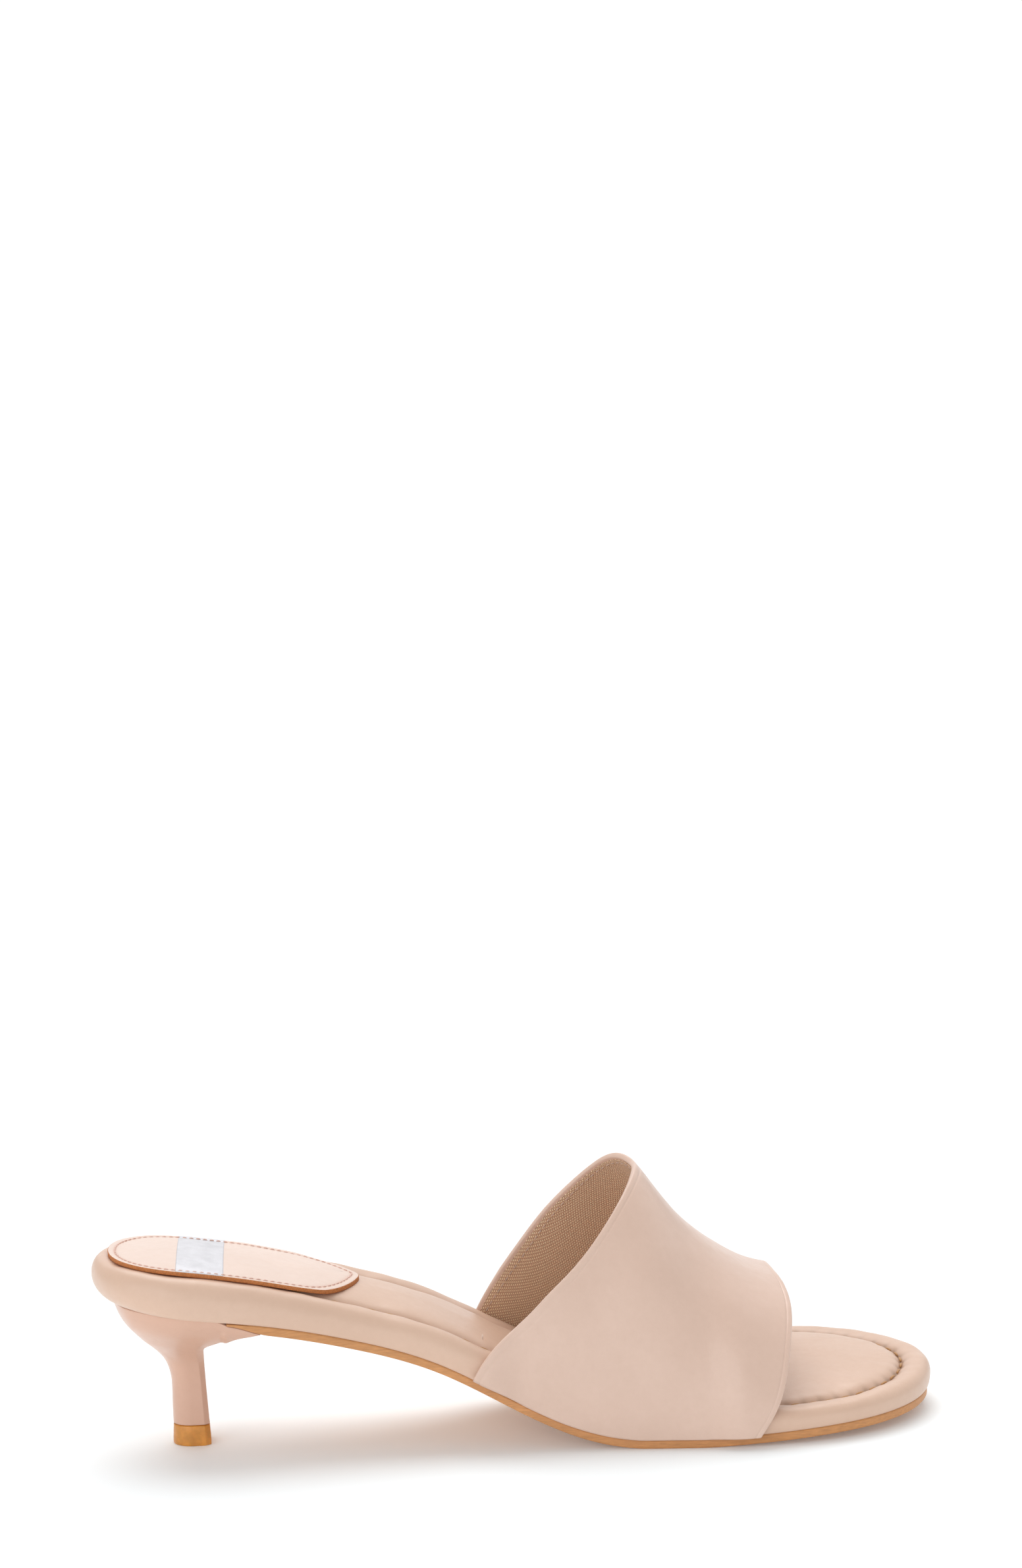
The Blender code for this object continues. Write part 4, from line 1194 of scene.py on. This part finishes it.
def build_heel(context):
    """Kitten heel: sections from the top lift to the seat. Each blends the stem's section into the seat's
    by the table's shares, and the last rows close over the middle."""
    sizes, colours, form = sandal(context)
    share = heel_share()[None, :]
    low = sizes.lift_height + GAP
    height = np.linspace(0.0, 1.0, 90)
    back_share, front_share, side_share = (read(HEEL_FLARE, number, height)[:, None]
                                           for number in (1, 2, 3))
    seat_back = UNDER_INSET_AT_HEEL + SEAT_INSET
    back = STEM_BACK + (seat_back - STEM_BACK) * back_share
    stem_front = STEM_BACK + STEM_LENGTH
    front = stem_front + (SEAT_LENGTH - stem_front) * front_share
    x = back + (front - back) * share
    seat_x = seat_back + (SEAT_LENGTH - seat_back) * share
    turn = form.turn_at(seat_x)
    under_outsole = ease(x, sizes.outsole_start - 0.002, sizes.outsole_start)
    seat_top = form.seat(x) - HEEL_CLEARANCE - under_outsole * (form.outsole_depth(x) + 2.0 * GAP)
    z = low + (seat_top - low) * height[:, None]
    rounded = np.sqrt(np.clip(1.0 - (1.0 - np.clip(share / SEAT_ROUND, 0.0, 1.0)) ** 4, 0.0, 1.0))
    halves = []
    for side, angle in ((1, turn), (-1, TURN - turn)):
        seat_half = np.abs(inset_curve(form.outline, angle, form.under_inset(seat_x) + SEAT_INSET)[1])
        stem = STEM_WIDTH / 2.0 * stem_half(share)
        halves.append(side * (stem * (1.0 - side_share) + seat_half * rounded * side_share))
    skin = leather("heel_leather", colours.heel, grain=0.0007, depth=0.00002, gloss=0.32, wrinkle=0.00003,
                   coat=0.35)
    piece = make_rings("heel_leather", closed_column(x, *halves, z), skin)
    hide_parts("heel")


def closed_column(x, medial, lateral, z):
    """Rings of a column from its x, its half-widths on both sides and its height. The rings' front is
    flat, and the first and last ring are drawn in to the middle line to close the column."""
    ring_x, ring_y, ring_z = (np.concatenate((near, far[:, -2:0:-1]), axis=1)
                              for near, far in ((x, x), (medial, lateral), (z, z)))
    ring_y[:, 0] = 0.0
    first, last = (np.stack((x[:, 0], half[:, 0], z[:, 0]), axis=-1)[:, None, :]
                   for half in (medial, lateral))
    points = np.stack((ring_x, ring_y, ring_z), axis=-1)
    points = np.concatenate((points[:, :1], first, points[:, 1:], last), axis=1)
    bottom, top = points[:1] * (1.0, 0.0, 1.0), points[-1:] * (1.0, 0.0, 1.0)
    return np.concatenate((bottom, points, top))


def build_top_lift(context):
    """Top lift: the stem's own section, flared a little to the floor, with its lower edge rounded."""
    sizes, colours, _ = sandal(context)
    share = heel_share()[None, :]
    height = np.array((0.0, 0.00008, 0.0003, 0.0007, 0.0015, 0.003, 0.0045, sizes.lift_height - 0.0003,
                       sizes.lift_height))[:, None]
    flare = np.array((-0.2, 0.5, 0.9, 1.0, 0.9, 0.6, 0.3, 0.0, -0.5))[:, None] * TOP_LIFT_FLARE
    x = STEM_BACK - flare + (STEM_LENGTH + 2.0 * flare) * share
    half = (STEM_WIDTH / 2.0 + flare) * stem_half(share)
    points = closed_column(x, half, -half, np.broadcast_to(height, x.shape))
    piece = make_rings("top_lift_rubber", points, rubber_finish("amber_rubber", colours.lift))
    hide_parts("top_lift")


# Floor, light and camera

# The camera looks at its target from azimuth and elevation, and the picture's middle is shifted
CAMERA_TARGET = (-0.00218, -0.00627, 0.0348)
CAMERA_AZIMUTH = math.radians(-6.07)
CAMERA_ELEVATION = math.radians(14.64)
CAMERA_ROLL = math.radians(-1.29)
CAMERA_DISTANCE = 0.850
PICTURE_SIZE = (1552, 2380)
FOCAL_PIXELS = 4371.0
PRINCIPAL_POINT = (779.0, 1990.0)
SENSOR = 36.0

# Soft lights: name, the way to it, the angle that it fills in degrees, strength
SOFT_LIGHTS = (
    ("top_light", (-0.05, 0.42, 1.00), 48.0, 1.55),
    ("back_light", (0.10, 1.00, 0.50), 60.0, 0.45),
    ("right_light", (1.00, 0.35, 0.70), 60.0, 0.45),
    ("front_light", (-0.75, -1.00, 0.16), 70.0, 1.40),
)
FLOOR_REACH = 8.0
FLOOR_GLOW = 0.10

# Strength of the white surroundings as light, and as the camera sees them
AMBIENT = 0.48
BACKGROUND = 1.05


def build_stage(context):
    """Pale floor, soft light from above, behind, the right and the front, and the camera at the picture's
    angle."""
    scene = context.scene
    mesh = bpy.data.meshes.new("floor")
    corners = [(x * FLOOR_REACH, y * FLOOR_REACH, 0.0) for x, y in ((-1, -1), (1, -1), (1, 1), (-1, 1))]
    mesh.from_pydata(corners, [], [(0, 1, 2, 3)])
    floor = add_object("floor", mesh)
    paper = Finish("pale_floor")
    mesh.materials.append(paper.finish(Base_Color=(0.90, 0.945, 0.965, 1.0), Roughness=0.9,
                                       Specular_IOR_Level=0.1, Emission_Color=(1.0, 1.0, 1.0, 1.0),
                                       Emission_Strength=FLOOR_GLOW))

    world = bpy.data.worlds.new("studio")
    world.use_nodes = True
    scene.world = world
    tree = world.node_tree
    background = tree.nodes["Background"]
    background.inputs["Color"].default_value = (1.0, 1.0, 1.0, 1.0)
    seen = tree.nodes.new("ShaderNodeLightPath").outputs["Is Camera Ray"]
    strength = tree.nodes.new("ShaderNodeMapRange")
    tree.links.new(seen, strength.inputs[0])
    strength.inputs[3].default_value = AMBIENT
    strength.inputs[4].default_value = BACKGROUND
    tree.links.new(strength.outputs[0], background.inputs["Strength"])

    for name, toward, spread, power in SOFT_LIGHTS:
        light = bpy.data.lights.new(name, "SUN")
        light.angle = math.radians(spread)
        light.energy = power
        back = np.array(toward) / np.linalg.norm(toward)
        add_object(name, light).matrix_world = facing(back, 0.0, back)

    camera = bpy.data.cameras.new("camera")
    camera.sensor_width = SENSOR
    camera.lens = SENSOR * FOCAL_PIXELS / PICTURE_SIZE[1]
    camera.shift_x = (PICTURE_SIZE[0] / 2.0 - PRINCIPAL_POINT[0]) / PICTURE_SIZE[1]
    camera.shift_y = (PRINCIPAL_POINT[1] - PICTURE_SIZE[1] / 2.0) / PICTURE_SIZE[1]
    camera.clip_start = 0.01
    stand = add_object("camera", camera)
    flat = math.cos(CAMERA_ELEVATION)
    back = np.array((math.sin(CAMERA_AZIMUTH) * flat, -math.cos(CAMERA_AZIMUTH) * flat,
                     math.sin(CAMERA_ELEVATION)))
    stand.matrix_world = facing(back, CAMERA_ROLL, np.array(CAMERA_TARGET) + back * CAMERA_DISTANCE)
    scene.camera = stand
    scene.view_settings.view_transform = "Standard"


def facing(back, roll, place):
    """Place and turn of a camera or lamp that looks along -back, rolled about it."""
    right = np.cross(-back, (0.0, 0.0, 1.0))
    right = right / np.linalg.norm(right)
    up = np.cross(right, -back)
    turned_right = math.cos(roll) * right + math.sin(roll) * up
    turned_up = -math.sin(roll) * right + math.cos(roll) * up
    matrix = Matrix.Identity(4)
    for row in range(3):
        matrix[row][0], matrix[row][1], matrix[row][2] = turned_right[row], turned_up[row], back[row]
        matrix[row][3] = place[row]
    return matrix


class SANDAL_OT_stage(bpy.types.Operator):
    """Add the floor, the lights and the camera"""
    bl_idname = "sandal.stage"
    bl_label = "Floor, light and camera"

    def execute(self, context):
        build_stage(context)
        return {"FINISHED"}


class SANDAL_OT_footbed(bpy.types.Operator):
    """Add the padded footbed with its rolled rim and channel"""
    bl_idname = "sandal.footbed"
    bl_label = "Footbed"

    def execute(self, context):
        build_footbed(context)
        return {"FINISHED"}


class SANDAL_OT_channel_thread(bpy.types.Operator):
    """Add the stitches in the footbed's channel"""
    bl_idname = "sandal.channel_thread"
    bl_label = "Channel thread"

    def execute(self, context):
        build_channel_thread(context)
        return {"FINISHED"}


class SANDAL_OT_upper(bpy.types.Operator):
    """Add the leather band over the instep"""
    bl_idname = "sandal.upper"
    bl_label = "Band"

    def execute(self, context):
        build_upper(context)
        return {"FINISHED"}


class SANDAL_OT_lining(bpy.types.Operator):
    """Add the woven lining of the band and its stitches"""
    bl_idname = "sandal.lining"
    bl_label = "Lining"

    def execute(self, context):
        build_lining(context)
        return {"FINISHED"}


class SANDAL_OT_heel_pad(bpy.types.Operator):
    """Add the leather pad on the heel seat and its stitches"""
    bl_idname = "sandal.heel_pad"
    bl_label = "Heel pad"

    def execute(self, context):
        build_heel_pad(context)
        return {"FINISHED"}


class SANDAL_OT_foil(bpy.types.Operator):
    """Add the bare foil panel on the heel pad"""
    bl_idname = "sandal.foil"
    bl_label = "Foil panel"

    def execute(self, context):
        build_foil(context)
        return {"FINISHED"}


class SANDAL_OT_outsole(bpy.types.Operator):
    """Add the thin outsole"""
    bl_idname = "sandal.outsole"
    bl_label = "Outsole"

    def execute(self, context):
        build_outsole(context)
        return {"FINISHED"}


class SANDAL_OT_heel(bpy.types.Operator):
    """Add the covered heel"""
    bl_idname = "sandal.heel"
    bl_label = "Heel"

    def execute(self, context):
        build_heel(context)
        return {"FINISHED"}


class SANDAL_OT_top_lift(bpy.types.Operator):
    """Add the top lift under the heel"""
    bl_idname = "sandal.top_lift"
    bl_label = "Top lift"

    def execute(self, context):
        build_top_lift(context)
        return {"FINISHED"}


OPERATORS = (SANDAL_OT_stage, SANDAL_OT_outsole, SANDAL_OT_footbed, SANDAL_OT_channel_thread,
             SANDAL_OT_upper, SANDAL_OT_lining, SANDAL_OT_heel_pad, SANDAL_OT_foil, SANDAL_OT_heel,
             SANDAL_OT_top_lift)


class SANDAL_PT_pieces(bpy.types.Panel):
    """Sizes, colours and pieces of the sandal"""
    bl_idname = "SANDAL_PT_pieces"
    bl_label = "Sandal"
    bl_space_type = "VIEW_3D"
    bl_region_type = "UI"
    bl_category = "Sandal"

    def draw(self, context):
        for group in (context.scene.sandal_sizes, context.scene.sandal_colours):
            box = self.layout.box()
            for label in group.__annotations__:
                box.prop(group, label)
        for operator in OPERATORS:
            self.layout.operator(operator.bl_idname)


CLASSES = (SandalSizes, SandalColours) + OPERATORS + (SANDAL_PT_pieces,)


def register():
    """Registers the classes and the two groups of properties."""
    for entry in CLASSES:
        bpy.utils.register_class(entry)
    bpy.types.Scene.sandal_sizes = bpy.props.PointerProperty(type=SandalSizes)
    bpy.types.Scene.sandal_colours = bpy.props.PointerProperty(type=SandalColours)


def unregister():
    """Takes the groups and the classes away again."""
    del bpy.types.Scene.sandal_colours
    del bpy.types.Scene.sandal_sizes
    for entry in reversed(CLASSES):
        bpy.utils.unregister_class(entry)


def main():
    """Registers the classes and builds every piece."""
    register()
    for operator in OPERATORS:
        group, name = operator.bl_idname.split(".")
        getattr(getattr(bpy.ops, group), name)()


if __name__ == "__main__":
    main()
